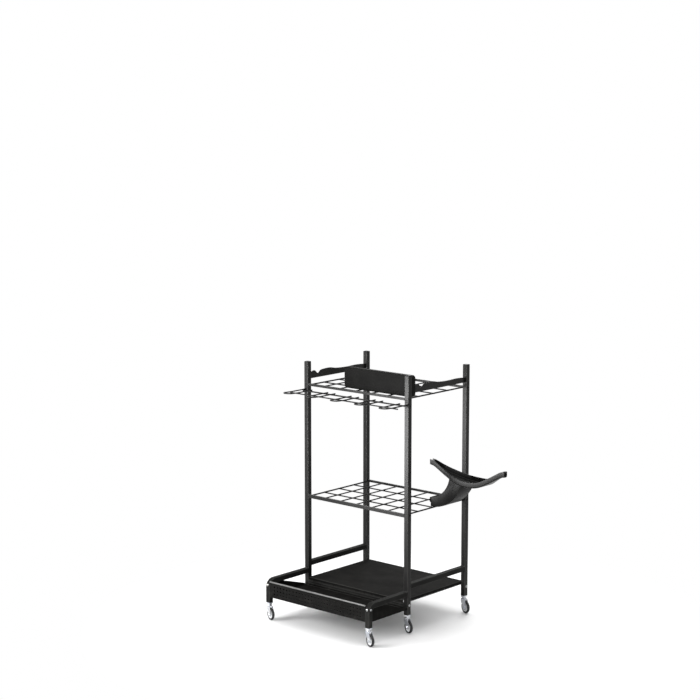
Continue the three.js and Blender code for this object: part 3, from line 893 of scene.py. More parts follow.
class GeoTree(Board):
    """A Geometry Nodes tree with named inputs that ends in plain, dressed geometry."""

    SOCKETS = {
        float: "NodeSocketFloat",
        int: "NodeSocketInt",
        tuple: "NodeSocketVector",
        type(None): "NodeSocketObject",
    }

    def __init__(self, name: str, inputs: dict[str, Any]) -> None:
        """Starts the tree.

        Args:
            name: Its name.
            inputs: Each named input's first value; None stands for an object.
        """
        super().__init__(bpy.data.node_groups.new(name, "GeometryNodeTree"))
        face = self.tree.interface
        face.new_socket("Geometry", in_out="INPUT", socket_type="NodeSocketGeometry")
        for label, value in inputs.items():
            socket = face.new_socket(label, in_out="INPUT", socket_type=self.SOCKETS[type(value)])
            if value is not None:
                socket.default_value = value
        face.new_socket("Finish", in_out="INPUT", socket_type="NodeSocketMaterial")
        face.new_socket("Geometry", in_out="OUTPUT", socket_type="NodeSocketGeometry")
        self.entry = self.add("NodeGroupInput")

    def given(self, label: str) -> Sock:
        """One of the tree's inputs."""
        return Sock(self, self.entry.outputs[label])

    def ended(self, placing: dict[str, Any], weld: float = 0.0) -> None:
        """Closes the tree.

        Args:
            placing: The inputs of the node that sets its instances on points.
            weld: How close points are merged, or 0.
        """
        out = self.add("GeometryNodeInstanceOnPoints", placing).outputs[0]
        out = self.add("GeometryNodeRealizeInstances", {0: out}).outputs[0]
        if weld:
            out = self.add("GeometryNodeMergeByDistance", {0: out, "Distance": weld}).outputs[0]
        values = {"Geometry": out, "Material": self.given("Finish")}
        self.add("NodeGroupOutput", {0: self.add("GeometryNodeSetMaterial", values).outputs[0]})

    def applied(
        self, base: bpy.types.Object, finish: bpy.types.Material, values: dict[str, Any]
    ) -> bpy.types.Object:
        """Runs the tree on an object and keeps the result as its plain mesh.

        Args:
            base: The object that carries the input geometry.
            finish: The material that the tree sets.
            values: The named inputs.

        Returns:
            The same object.
        """
        modifier = base.modifiers.new(self.tree.name, "NODES")
        modifier.node_group = self.tree
        given = {**values, "Finish": finish}
        for item in self.tree.interface.items_tree:
            if item.in_out == "INPUT" and item.name in given:
                modifier[item.identifier] = given[item.name]
        graph = bpy.context.evaluated_depsgraph_get()
        mesh = bpy.data.meshes.new_from_object(base.evaluated_get(graph), depsgraph=graph)
        base.modifiers.clear()
        base.data = mesh
        return base


class RodRow(GeoTree):
    """Bends round rod along lines and repeats it in an even row."""

    def __init__(self) -> None:
        """Builds the tree."""
        super().__init__("rod_row", {"Radius": 0.0025, "Sides": 20, "Count": 1, "Step": (0.0, 0.0, 0.0)})
        line = self.add("GeometryNodeMeshToCurve", {0: self.given("Geometry")})
        ring = {"Resolution": self.given("Sides"), "Radius": self.given("Radius")}
        ring = self.add("GeometryNodeCurvePrimitiveCircle", ring, mode="RADIUS")
        values = {"Curve": line.outputs[0], "Profile Curve": ring.outputs[0], "Fill Caps": True}
        rod = self.add("GeometryNodeCurveToMesh", values)
        values = {"Count": self.given("Count"), "Offset": self.given("Step")}
        row = self.add("GeometryNodeMeshLine", values, mode="OFFSET")
        self.ended({"Points": row.outputs[0], "Instance": rod.outputs[0]})

    def rods(
        self,
        lines: Sequence[Sequence[Vector]],
        radius: float,
        finish: bpy.types.Material,
        count: int = 1,
        step: Vector = Vector(),
        sides: int = 20,
        closed: bool = False,
    ) -> bpy.types.Object:
        """Makes rods along lines.

        Args:
            lines: The lines, each a list of points.
            radius: The rod's radius.
            finish: Its material.
            count: How many copies stand in the row.
            step: The way from one copy to the next.
            sides: Facets round the rod.
            closed: True where each line is a ring.

        Returns:
            The rods as one object.
        """
        points: list[tuple[float, float, float]] = []
        edges: list[tuple[int, int]] = []
        for line in lines:
            base = len(points)
            points.extend(tuple(p) for p in line)
            edges.extend((base + k, base + k + 1) for k in range(len(line) - 1))
            if closed:
                edges.append((base + len(line) - 1, base))
        mesh = bpy.data.meshes.new("rods")
        mesh.from_pydata(points, edges, [])
        values = {"Radius": radius, "Sides": sides, "Count": count, "Step": tuple(step)}
        return dressed(self.applied(new_object("rods", mesh), finish, values))


class PerforatedField(GeoTree):
    """Lays one perforated cell out in columns and rows and welds the cells together."""

    def __init__(self) -> None:
        """Builds the tree."""
        inputs = {"Columns": 28, "Rows": 3, "Pitch Across": 0.0165, "Pitch Up": 0.0145}
        super().__init__("perforated_field", {**inputs, "Middle": (0.0, 0.0, 0.0)})
        columns, rows = self.given("Columns"), self.given("Rows")
        size = {"Vertices X": columns, "Vertices Y": rows}
        size["Size X"] = (columns - 1) * self.given("Pitch Across")
        size["Size Y"] = (rows - 1) * self.given("Pitch Up")
        plan = self.add("GeometryNodeMeshGrid", size)
        values = {0: plan.outputs[0], "Translation": self.given("Middle"), "Rotation": (math.pi / 2, 0, 0)}
        upright = self.add("GeometryNodeTransform", values)
        self.ended({"Points": upright.outputs[0], "Instance": self.given("Geometry")}, CELL_WELD)


class SetOnPoints(GeoTree):
    """Sets a small item on points, its Z along each point's facing and its turn drawn by a fixed seed."""

    def __init__(self) -> None:
        """Builds the tree."""
        super().__init__("set_on_points", {"Item": None, "Least Size": 1.0, "Most Size": 1.0, "Seed": SEED})
        item = {"Object": self.given("Item")}
        item = self.add("GeometryNodeObjectInfo", item, transform_space="ORIGINAL")
        facing = self.add("GeometryNodeInputNamedAttribute", {"Name": FACING}, data_type="FLOAT_VECTOR")
        stand = self.add("FunctionNodeAlignRotationToVector", {"Vector": facing.outputs[0]}, axis="Z")
        spin = self._random(0.0, 2 * math.pi)
        spin = self.add("ShaderNodeCombineXYZ", {"Z": spin}).outputs[0]
        spin = self.add("FunctionNodeEulerToRotation", {0: spin}).outputs[0]
        values = {"Rotation": stand.outputs[0], "Rotate By": spin}
        stand = self.add("FunctionNodeRotateRotation", values, rotation_space="LOCAL")
        size = self._random(self.given("Least Size"), self.given("Most Size"))
        values = {"Points": self.given("Geometry"), "Instance": item.outputs["Geometry"]}
        self.ended({**values, "Rotation": stand.outputs[0], "Scale": size})

    def _random(self, least: Number, most: Number) -> bpy.types.NodeSocket:
        """A number for each point between two, drawn by the tree's seed.

        Args:
            least: The lowest number.
            most: The highest number.

        Returns:
            The output socket that gives the numbers.
        """
        node = self.add("FunctionNodeRandomValue", data_type="FLOAT")
        for label, value in (("Min", least), ("Max", most), ("Seed", self.given("Seed"))):
            self.feed(next(s for s in node.inputs if s.name == label and s.enabled), value)
        return next(s for s in node.outputs if s.enabled)

    def placed(
        self,
        item: bpy.types.Object,
        spots: Sequence[Spot],
        finish: bpy.types.Material,
        sizes: tuple[float, float] = (1.0, 1.0),
    ) -> bpy.types.Object:
        """Sets an item on spots and removes the item itself.

        Args:
            item: The object to repeat.
            spots: Each one's place and facing.
            finish: The material.
            sizes: The least and the most size.

        Returns:
            All the items as one object.
        """
        mesh = bpy.data.meshes.new("spots")
        mesh.from_pydata([tuple(at) for at, _ in spots], [], [])
        facing = mesh.attributes.new(FACING, "FLOAT_VECTOR", "POINT")
        facing.data.foreach_set("vector", [value for _, way in spots for value in way])
        values = {"Item": item, "Least Size": sizes[0], "Most Size": sizes[1], "Seed": SEED}
        made = self.applied(new_object("spots", mesh), finish, values)
        bpy.data.objects.remove(item)
        made.data.set_sharp_from_angle(angle=SHARP_ANGLE)
        return made


class RibRing(GeoTree):
    """Repeats its input evenly round the Z axis."""

    def __init__(self) -> None:
        """Builds the tree."""
        super().__init__("rib_ring", {"Count": 6})
        count = self.given("Count")
        index = Sock(self, self.add("GeometryNodeInputIndex").outputs[0])
        angle = self.add("ShaderNodeCombineXYZ", {"Z": index * (2 * math.pi) / count})
        points = self.add("GeometryNodePoints", {"Count": count})
        values = {"Points": points.outputs[0], "Instance": self.given("Geometry")}
        self.ended({**values, "Rotation": angle.outputs[0]})


class Workshop:
    """The finishes and the trees that the sub-assemblies share."""

    BEAD: Table = ((0.0, 0.55), (0.45, 0.48), (0.82, 0.26), (1.0, 0.0))
    BEAD_SIDES = 8
    BEAD_SIZES = (0.75, 1.15)

    def __init__(self) -> None:
        """Makes them all."""
        self.finishes = Finishes()
        self.rods = RodRow()
        self.field = PerforatedField()
        self.setter = SetOnPoints()
        self.ribs = RibRing()

    def welds(self, spots: Sequence[Spot], radius: float) -> bpy.types.Object:
        """Small coated weld spots, each a flattened bead of that radius, as one object.

        Args:
            spots: Where each bead lies and the way it faces.
            radius: The radius in metres.

        Returns:
            The object.
        """
        half = [(r * radius, z * radius) for r, z in self.BEAD]
        form = Form().turned([*half, *mirrored(half[:-1])], self.BEAD_SIDES)
        return self.setter.placed(form.made("bead", []), spots, self.finishes.coat, self.BEAD_SIZES)

    def seam(self, rings: Sequence[Sequence[Vector]], radius: float) -> bpy.types.Object:
        """Coated weld seams along closed lines."""
        return self.rods.rods(rings, radius, self.finishes.coat, sides=self.BEAD_SIDES, closed=True)


@dataclass(frozen=True)
class Box:
    """The box of one solid at rest."""

    low: Vector
    high: Vector

    @classmethod
    def of(cls, node: str) -> "Box":
        """Reads a solid's box."""
        low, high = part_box(node)
        return cls(low, high)

    @property
    def middle(self) -> Vector:
        """The box's centre."""
        return (self.low + self.high) / 2

    @property
    def size(self) -> Vector:
        """The box's edges."""
        return self.high - self.low


# Posts, legs and rails


@dataclass
class SquareTube:
    """The square tube that the posts, legs and rails are cut from."""

    size: float = 0.020
    wall: float = 0.0014
    corner: float = 0.0016
    seam: float = 0.0009

    def along(self, path: Sequence[Station], across: Vector) -> Form:
        """A length of tube along a flat path.

        Args:
            path: Its centre line.
            across: The direction square to the path's plane.

        Returns:
            The tube, open at its ends.
        """
        bore = self.size - self.wall * 2
        outer = rounded_section(self.size, self.size, self.corner)
        inner = rounded_section(bore, bore, self.corner - self.wall)
        rings = rings_along(path, outer, across)
        rings += list(reversed(rings_along(path, inner, across)))
        return Form().loft(rings, wears_of(outer), looped=True)

    def welded(
        self, shop: Workshop, name: str, path: Sequence[Station], across: Vector, start: bool
    ) -> bpy.types.Object:
        """A length of rail along a flat path, with a weld seam round its end.

        Args:
            shop: Where it is finished.
            name: The object's name.
            path: Its centre line.
            across: The direction square to the path's plane.
            start: True where its start has a seam too.

        Returns:
            The rail as one object.
        """
        # Legs and rails take the rail coat, whose paler base colour is painted reflection on their faces.
        made = self.along(path, across).made(name, [shop.finishes.rail])
        around = rounded_section(self.size, self.size, self.corner)
        ends = [(path[0], -FACE_STEP)] if start else []
        ends.append((path[-1], FACE_STEP))
        seams = [rings_along([(at + way * step, way)], around, across)[0] for (at, way), step in ends]
        return joined(name, [made, shop.seam(seams, self.seam)])


@dataclass
class FootSocket:
    """The bright square socket in a tube's foot that holds a caster's stem."""

    shop: Workshop
    flange: float = 0.0199
    flange_corner: float = 0.0023
    flange_height: float = 0.0068
    collar_radius: float = 0.0084
    collar_height: float = 0.0090
    bore: float = 0.00435
    plug: float = 0.0170
    plug_corner: float = 0.0008
    rise: float = 0.0300
    ease: float = 0.0006
    top_ease: float = 0.0005
    sides: int = 36

    def build(self, node: str, at: Vector) -> None:
        """Makes the socket: its flange, its collar and its plug.

        Args:
            node: The solid whose tube it closes.
            at: The middle of the tube's end.
        """
        r, h, b, ease = self.collar_radius, self.collar_height, self.bore, self.ease
        top, deep = -2 * FACE_STEP, self.flange_height
        profile = [(b, top), (r, top), (r, ease - h), (r - ease, -h), (b + ease, -h), (b, ease - h)]
        form = Form().turned(profile, self.sides, 0, [0, 0, 1, 1, 0, 0])
        steps = ((self.top_ease, -FACE_STEP), (0.0, -ease), (0.0, ease - deep), (ease, -deep))
        form.take(Form().stepped(self.flange, self.flange_corner, steps))
        plug = rounded_section(self.plug, self.plug, self.plug_corner)
        form.take(Form().loft([level_ring(plug, z) for z in (-FACE_STEP, self.rise)]))
        form.moved(Matrix.Translation(at))
        settled(form.made(f"{node}_foot_socket", [self.shop.finishes.zinc]))


@dataclass
class PostCap:
    """The plastic cap on a post: a plate with eased edges and a skirt in the tube."""

    size: float = 0.020
    corner: float = 0.0016
    plate: float = 0.0026
    skirt_size: float = 0.0168
    skirt_corner: float = 0.0012
    skirt_steps: tuple[float, ...] = (-0.0120, -0.0006, 0.0002)
    least_corner: float = 0.0008
    easing: Table = (
        (0.0004, 0.0), (0.0, 0.0006), (0.0, 0.0014), (0.0006, 0.0020), (0.0018, 0.0024), (0.0045, 0.0026),
    )

    def form(self, top: Vector) -> Form:
        """The cap with the middle of its top at that point.

        Args:
            top: The middle of the cap's top.

        Returns:
            The cap's form.
        """
        steps = [(inset, z - self.plate) for inset, z in self.easing]
        form = Form().stepped(self.size, self.corner, steps, self.least_corner)
        skirt = rounded_section(self.skirt_size, self.skirt_size, self.skirt_corner)
        form.take(Form().loft([level_ring(skirt, z - self.plate) for z in self.skirt_steps]))
        return form.moved(Matrix.Translation(top))


@dataclass
class Posts:
    """The four tall posts with their caps and foot sockets."""

    shop: Workshop
    tube: SquareTube
    foot: FootSocket
    cap: PostCap
    rise: float = 0.0090

    def build(self) -> None:
        """Makes every post and cap."""
        up, across = Vector((0, 0, 1)), Vector((1, 0, 0))
        for row in (Row.MIDDLE, Row.REAR):
            for side in Side:
                node = f"{row.value}_{side.word}_post"
                box = Box.of(node)
                foot = Vector((box.middle.x, box.middle.y, box.low.z + self.rise))
                top = Vector((foot.x, foot.y, box.high.z))
                form = self.tube.along([(foot, up), (top, up)], across)
                settled(form.made(f"{node}_tube", [self.shop.finishes.coat]), [node])
                self.foot.build(node, foot)
                cap_box = Box.of(f"{node}_cap")
                cap_top = Vector((foot.x, foot.y, cap_box.high.z))
                made = self.cap.form(cap_top).made(f"{node}_end_cap", [self.shop.finishes.cap])
                settled(made, [f"{node}_cap"])


@dataclass
class LegRails:
    """The two front legs, each bent back into a rail that meets its tall post."""

    shop: Workshop
    tube: SquareTube
    foot: FootSocket
    bend: float = 0.0240
    bend_steps: int = 16
    rise: float = 0.0090

    def build(self) -> None:
        """Makes both legs."""
        across = Vector((1, 0, 0))
        half = self.tube.size / 2
        for side in Side:
            node = f"{side.word}_leg_rail"
            box = Box.of(node)
            x, front = box.middle.x, box.low.y + half
            level = box.high.z - half
            foot = Vector((x, front, box.low.z + self.rise))
            corners = [foot, Vector((x, front, level)), Vector((x, box.high.y, level))]
            path = bent_path(corners, [self.bend], self.bend_steps)
            made = self.tube.welded(self.shop, f"{side.word}_leg_tube", path, across, start=False)
            self.foot.build(node, foot)
            settled(made, [node])


@dataclass
class BaseTubes:
    """The cross bar under the floors and the two side rails between the posts."""

    shop: Workshop
    tube: SquareTube

    def build(self) -> None:
        """Makes the three tubes with their weld seams."""
        for side in Side:
            node = f"{side.word}_side_rail"
            box = Box.of(node)
            ends = [Vector((box.middle.x, y, box.middle.z)) for y in (box.low.y, box.high.y)]
            self._tube(node, ends, Vector((1, 0, 0)))
        box = Box.of("front_cross_bar")
        ends = [Vector((x, box.middle.y, box.middle.z)) for x in (box.low.x, box.high.x)]
        self._tube("front_cross_bar", ends, Vector((0, 0, 1)))

    def _tube(self, node: str, ends: Sequence[Vector], across: Vector) -> None:
        """Makes one straight tube welded at both ends.

        Args:
            node: The solid that it stands for.
            ends: Its two ends.
            across: A direction square to it.
        """
        along = (ends[1] - ends[0]).normalized()
        path = [(end, along) for end in ends]
        settled(self.tube.welded(self.shop, f"{node}_tube", path, across, start=True), [node])


# Tray and floors


@dataclass
class TrayApron:
    """The perforated sheet across the tray's front, rolled over at its top and folded in below."""

    shop: Workshop
    sheet: float = 0.0015
    bead: float = 0.0030
    hole: float = 0.0035
    hole_edge: float = 0.0004
    pitch_across: float = 0.0165
    pitch_up: float = 0.0145
    margin: float = 0.020
    rows: int = 3
    hole_sides: int = 24
    bead_sides: int = 28
    fold: float = 0.010
    fold_inset: float = 0.012

    def build(self) -> None:
        """Makes the apron."""
        box = Box.of("tray_apron")
        coat = self.shop.finishes.panel
        top = box.high.z - self.bead
        bottom = box.low.z
        back = box.middle.y + self.sheet / 2
        front = back - self.sheet
        half = box.size.x / 2
        columns = int((half - self.margin) * 2 / self.pitch_across) + 1
        wide, high = columns * self.pitch_across, self.rows * self.pitch_up
        middle = Vector((box.middle.x, (front + back) / 2, (bottom + top) / 2))
        values = {"Columns": columns, "Rows": self.rows, "Middle": tuple(middle)}
        values.update({"Pitch Across": self.pitch_across, "Pitch Up": self.pitch_up})
        field = self.shop.field.applied(self._cell().made("cell", []), coat, values)
        parts = [dressed(field, CELL_WELD)]
        form = Form()
        self._strip(form, box.low.x, box.high.x, bottom, middle.z - high / 2, front)
        self._strip(form, box.low.x, box.high.x, middle.z + high / 2, top, front)
        for x0, x1 in ((box.low.x, middle.x - wide / 2), (middle.x + wide / 2, box.high.x)):
            self._strip(form, x0, x1, middle.z - high / 2, middle.z + high / 2, front)
        ends = [Vector((x, middle.y, top)) for x in (box.low.x, box.high.x)]
        parts += [form.made("margins", [coat]), self._fold(box, back, bottom).made("fold", [coat])]
        # The rolled bead takes the finish whose pale colour is a painted highlight along its top.
        rolled = self.shop.finishes.rolled
        parts.append(self.shop.rods.rods([ends], self.bead, rolled, sides=self.bead_sides))
        settled(joined("tray_apron_sheet", parts), ["tray_apron"])

    def _cell(self) -> Form:
        """One cell of the sheet with its round hole, upright in X and Z.

        Returns:
            The cell's form, open along its rim.
        """
        half_x, half_z, half_y = self.pitch_across / 2, self.pitch_up / 2, self.sheet / 2
        rim, hole = [], []
        for k in range(self.hole_sides):
            angle = 2 * math.pi * (k + 0.5) / self.hole_sides
            way = Vector((math.cos(angle), math.sin(angle)))
            reach = min(half_x / abs(way.x), half_z / abs(way.y))
            rim.append(way * reach)
            hole.append(way)
        corners = [Vector((x, z)) for x in (-half_x, half_x) for z in (-half_z, half_z)]
        for corner in corners:
            nearest = min(range(len(rim)), key=lambda k: (rim[k] - corner).length)
            rim[nearest] = corner
        rings = []
        for radius, y in (
            (None, -half_y),
            (self.hole + self.hole_edge, -half_y),
            (self.hole, -half_y + self.hole_edge),
            (self.hole, half_y - self.hole_edge),
            (self.hole + self.hole_edge, half_y),
            (None, half_y),
        ):
            flat = rim if radius is None else [way * radius for way in hole]
            rings.append([Vector((p.x, y, p.y)) for p in flat])
        form = Form()
        form.loft(rings, [0.0] * self.hole_sides)
        form.faces, form.finishes = form.faces[:-2], form.finishes[:-2]
        return form

    def _strip(self, form: Form, x0: float, x1: float, z0: float, z1: float, front: float) -> None:
        """Adds a plain strip of the sheet between the given edges.

        Args:
            form: The form that takes in the strip.
            x0: The strip's least X.
            x1: Its greatest X.
            z0: Its least Z.
            z1: Its greatest Z.
            front: The Y of its front face.
        """
        outline = [Vector((x0, z0)), Vector((x1, z0)), Vector((x1, z1)), Vector((x0, z1))]
        strip = Form().prism(outline, 0, self.sheet)
        upright = Matrix.Translation((0, front + self.sheet, 0)) @ Matrix.Rotation(math.pi / 2, 4, "X")
        form.take(strip.moved(upright))

    def _fold(self, box: Box, back: float, bottom: float) -> Form:
        """The return that is folded in along the sheet's bottom.

        Args:
            box: The apron's box.
            back: The Y of the sheet's back.
            bottom: The Z of the fold's underside.

        Returns:
            The fold's form.
        """
        near, far = back - self.sheet * 0.5, back + self.fold
        low, high = bottom, bottom + self.sheet
        outline = [Vector(p) for p in ((near, low), (far, low), (far, high), (near, high))]
        ends = (box.low.x + self.fold_inset, box.high.x - self.fold_inset)
        return Form().loft(side_rings((outline, x) for x in ends))


@dataclass
class FoldedEdge:
    """A sheet's edge folded square, on a round bend, up to an eased rim."""

    sheet: float = 0.0015
    bend: float = 0.0030
    bend_steps: int = 5
    ease_share: float = 0.35

    def add(
        self, form: Form, start: Vector, end: Vector, height: float, away: int, gap: float = 0.0
    ) -> None:
        """Adds the fold along a side of a sheet's plan.

        Args:
            form: The mesh that it belongs to.
            start: The side's first corner, on the sheet's outer face; the sheet lies on its left.
            end: The side's second corner.
            height: How far the fold reaches.
            away: 1 where it is folded up, -1 where it is folded down.
            gap: What is left out at each end.
        """
        along = (end - start).normalized()
        inward = Vector((-along.y, along.x, 0))
        bend, steps = self.bend, self.bend_steps
        outer = arc_points(bend, bend, bend, 270, 180, steps)
        inner = arc_points(bend, bend, bend - self.sheet, 180, 270, steps)
        ease = self.sheet * self.ease_share
        tip = [Vector((0, height - ease)), Vector((ease, height)), Vector((self.sheet - ease, height))]
        section = [*outer, *tip, Vector((self.sheet, height - ease)), *inner]
        rings = []
        for at in (start + along * gap, end - along * gap):
            rings.append([at + inward * p.x + Vector((0, 0, away * p.y)) for p in section])
        wears = [1.0 if 0.0 < p.y < self.bend or p.y > height - self.sheet else 0.0 for p in section]
        form.loft(rings, wears)


@dataclass
class RearFloor:
    """The tower's floor: a sheet with its four edges folded down."""

    shop: Workshop
    edge: FoldedEdge

    def build(self) -> None:
        """Makes the floor."""
        box = Box.of("rear_floor")
        x0, x1, y0, y1, top = box.low.x, box.high.x, box.low.y, box.high.y, box.high.z
        corners = [Vector((x, y, top)) for x, y in ((x0, y0), (x1, y0), (x1, y1), (x0, y1))]
        plan = inset_outline([c.xy for c in corners], self.edge.bend)
        form = Form().prism(plan, top - self.edge.sheet, top)
        for k, corner in enumerate(corners):
            self.edge.add(form, corner, corners[(k + 1) % 4], box.size.z, -1, self.edge.bend)
        made = form.made("rear_floor_sheet", [self.shop.finishes.matt])
        settled(made, ["rear_floor"])


@dataclass
class TrayPan:
    """The tray's floor, which runs out under the leg rails, with its lips and its tapered side walls."""

    shop: Workshop
    edge: FoldedEdge
    lip: float = 0.012
    taper_start: float = 0.055
    rear_height: float = 0.006
    wall_top: float = 0.0497
    wall_corner: float = 0.0137
    corner_steps: int = 8
    wall_ease: float = 0.0004
    leg_depth: float = 0.0203

    def build(self) -> None:
        """Makes the pan."""
        box = Box.of("tray_floor")
        apron, leg = Box.of("tray_apron"), Box.of("right_leg_rail")
        behind = leg.low.y + self.leg_depth
        bend, low = self.edge.bend, box.low.z
        x0, x1 = apron.low.x, apron.high.x
        front, back = box.low.y, box.high.y
        inner = [(x0, front + bend), (x1, front + bend), (x1, behind), (box.high.x, behind)]
        inner += [(box.high.x, back - bend), (box.low.x, back - bend), (box.low.x, behind), (x0, behind)]
        form = Form().prism([Vector(p) for p in inner], low, low + self.edge.sheet)
        self.edge.add(form, Vector((x0, front, low)), Vector((x1, front, low)), self.lip, 1)
        self.edge.add(form, Vector((x1, back, low)), Vector((x0, back, low)), self.lip, 1)
        for x in (box.low.x, box.high.x - self.edge.sheet):
            form.take(self._wall(behind, back, low).moved(Matrix.Translation((x, 0, 0))))
        made = form.made("tray_pan", [self.shop.finishes.matt])
        settled(made, ["tray_floor"])

    def _wall(self, front: float, back: float, low: float) -> Form:
        """One side wall, upright in Y and Z, its front corner rounded to the leg's bend.

        Args:
            front: The Y of its front edge.
            back: The Y of its rear edge.
            low: The Z of its lower edge.

        Returns:
            The wall's form.
        """
        top, bend = low + self.wall_top, self.wall_corner
        outline = [Vector((front, low)), Vector((back, low)), Vector((back, low + self.rear_height))]
        outline.append(Vector((front + self.taper_start, top)))
        outline += arc_points(front + bend, top - bend, bend, 90, 180, self.corner_steps)
        return Form().loft(side_rings(eased_levels(outline, self.wall_ease, 0.0, self.edge.sheet)))


# Grids and the handle holder


@dataclass(frozen=True)
class GridPlan:
    """Where a grid's bars and rods lie."""

    box: Box
    front: float
    rear: float
    first_x: float
    step_x: float
    step_y: float
    depth_z: float


@dataclass
class RodGrid:
    """A grid that steadies long handles: a flat-bar frame, cross rods and depth rods laid on them.

    Its front bar is higher than the rear one by front_over at the top and front_under below.
    """

    shop: Workshop
    prefix: str
    bar_height: float = 0.010
    bar_thickness: float = 0.005
    bar_corner: float = 0.0015
    front_over: float = 0.0
    front_under: float = 0.0
    side_radius: float = 0.0030
    side_inset: float = 0.0005
    side_overlap: float = 0.002
    rod_radius: float = 0.0025
    seat: float = 0.0003
    columns: int = 6
    rows: int = 4
    bead: float = 0.0016
    bead_share: float = 0.9
    side_bead_drop: float = 0.004

    def build(self) -> None:
        """Makes the grid."""
        box = Box.of(f"{self.prefix}_frame")
        first, second = (Box.of(f"{self.prefix}_depth_rod_{k}") for k in (1, 2))
        level = box.high.z - self.bar_height / 2
        front, rear = box.low.y + self.bar_thickness, box.high.y - self.bar_thickness
        depth_z = level + self.bar_height / 2 - self.rod_radius
        step_x, step_y = second.middle.x - first.middle.x, (rear - front) / self.rows
        plan = GridPlan(box, front, rear, first.middle.x, step_x, step_y, depth_z)
        parts = [self._bars(box, level)]
        side_x = box.size.x / 2 - self.side_inset - self.side_radius
        side_z = level - self.bar_height / 2 + self.side_radius + self.side_inset
        sides = [box.middle.x + s * side_x for s in (-1, 1)]
        ends = (front - self.side_overlap, rear + self.side_overlap)
        parts.append(self._row([[Vector((x, y, side_z)) for y in ends] for x in sides], self.side_radius))
        cross_z = depth_z - self.rod_radius * 2 - self.seat
        line = [Vector((x, front + step_y, cross_z)) for x in sides]
        parts.append(self._row([line], self.rod_radius, self.rows - 1, Vector((0, step_y, 0))))
        line = [Vector((first.middle.x, y, depth_z)) for y in (first.low.y, first.high.y)]
        count = self.columns - 1
        parts.append(self._row([line], self.rod_radius, count, Vector((step_x, 0, 0))))
        parts.append(self._welds(plan))
        rods = [f"{self.prefix}_depth_rod_{k + 1}" for k in range(count)]
        settled(joined(f"{self.prefix}_rods", parts), [f"{self.prefix}_frame", *rods])

    def _bars(self, box: Box, level: float) -> bpy.types.Object:
        """The front and rear flat bars, the level being the middle of their height.

        Args:
            box: The frame's box.
            level: The middle of the bars' height.

        Returns:
            Both bars, as one object.
        """
        form = Form()
        half = self.bar_thickness / 2
        front = (box.low.y + half, self.front_over, self.front_under)
        for y, over, under in (front, (box.high.y - half, 0.0, 0.0)):
            bar = rounded_section(self.bar_thickness, self.bar_height + over + under, self.bar_corner, 3)
            outline = [Vector((y + p, level + (over - under) / 2 + q)) for p, q, _ in bar]
            form.loft(side_rings((outline, x) for x in (box.low.x, box.high.x)), wears_of(bar))
        return form.made("bars", [self.shop.finishes.coat])

    def _row(
        self, lines: Sequence[Sequence[Vector]], radius: float, count: int = 1, step: Vector = Vector()
    ) -> bpy.types.Object:
        """Rods along lines, repeated in a row, in the wires' finish."""
        return self.shop.rods.rods(lines, radius, self.shop.finishes.wire, count, step)

    def _welds(self, plan: GridPlan) -> bpy.types.Object:
        """The weld spots where rods cross and meet the bars.

        Args:
            plan: The grid's places and steps.

        Returns:
            The spots, as one object.
        """
        spots = []
        bars = ((plan.front, 1), (plan.rear, -1))
        for column in range(self.columns - 1):
            x = plan.first_x + plan.step_x * column
            spots += [(Vector((x, y, plan.depth_z)), Vector((0, way, 0))) for y, way in bars]
            for row in range(1, self.rows):
                y, z = plan.front + plan.step_y * row, plan.depth_z - self.rod_radius
                aside = self.rod_radius * self.bead_share
                spots += [(Vector((x + s * aside, y, z)), Vector((s, 0, 0))) for s in (-1, 1)]
        for s in (-1, 1):
            x = plan.box.middle.x + s * (plan.box.size.x / 2 - self.side_radius)
            z = plan.depth_z - self.side_bead_drop
            spots += [(Vector((x, y, z)), Vector((0, way, 0))) for y, way in bars]
        return self.shop.welds(spots, self.bead)


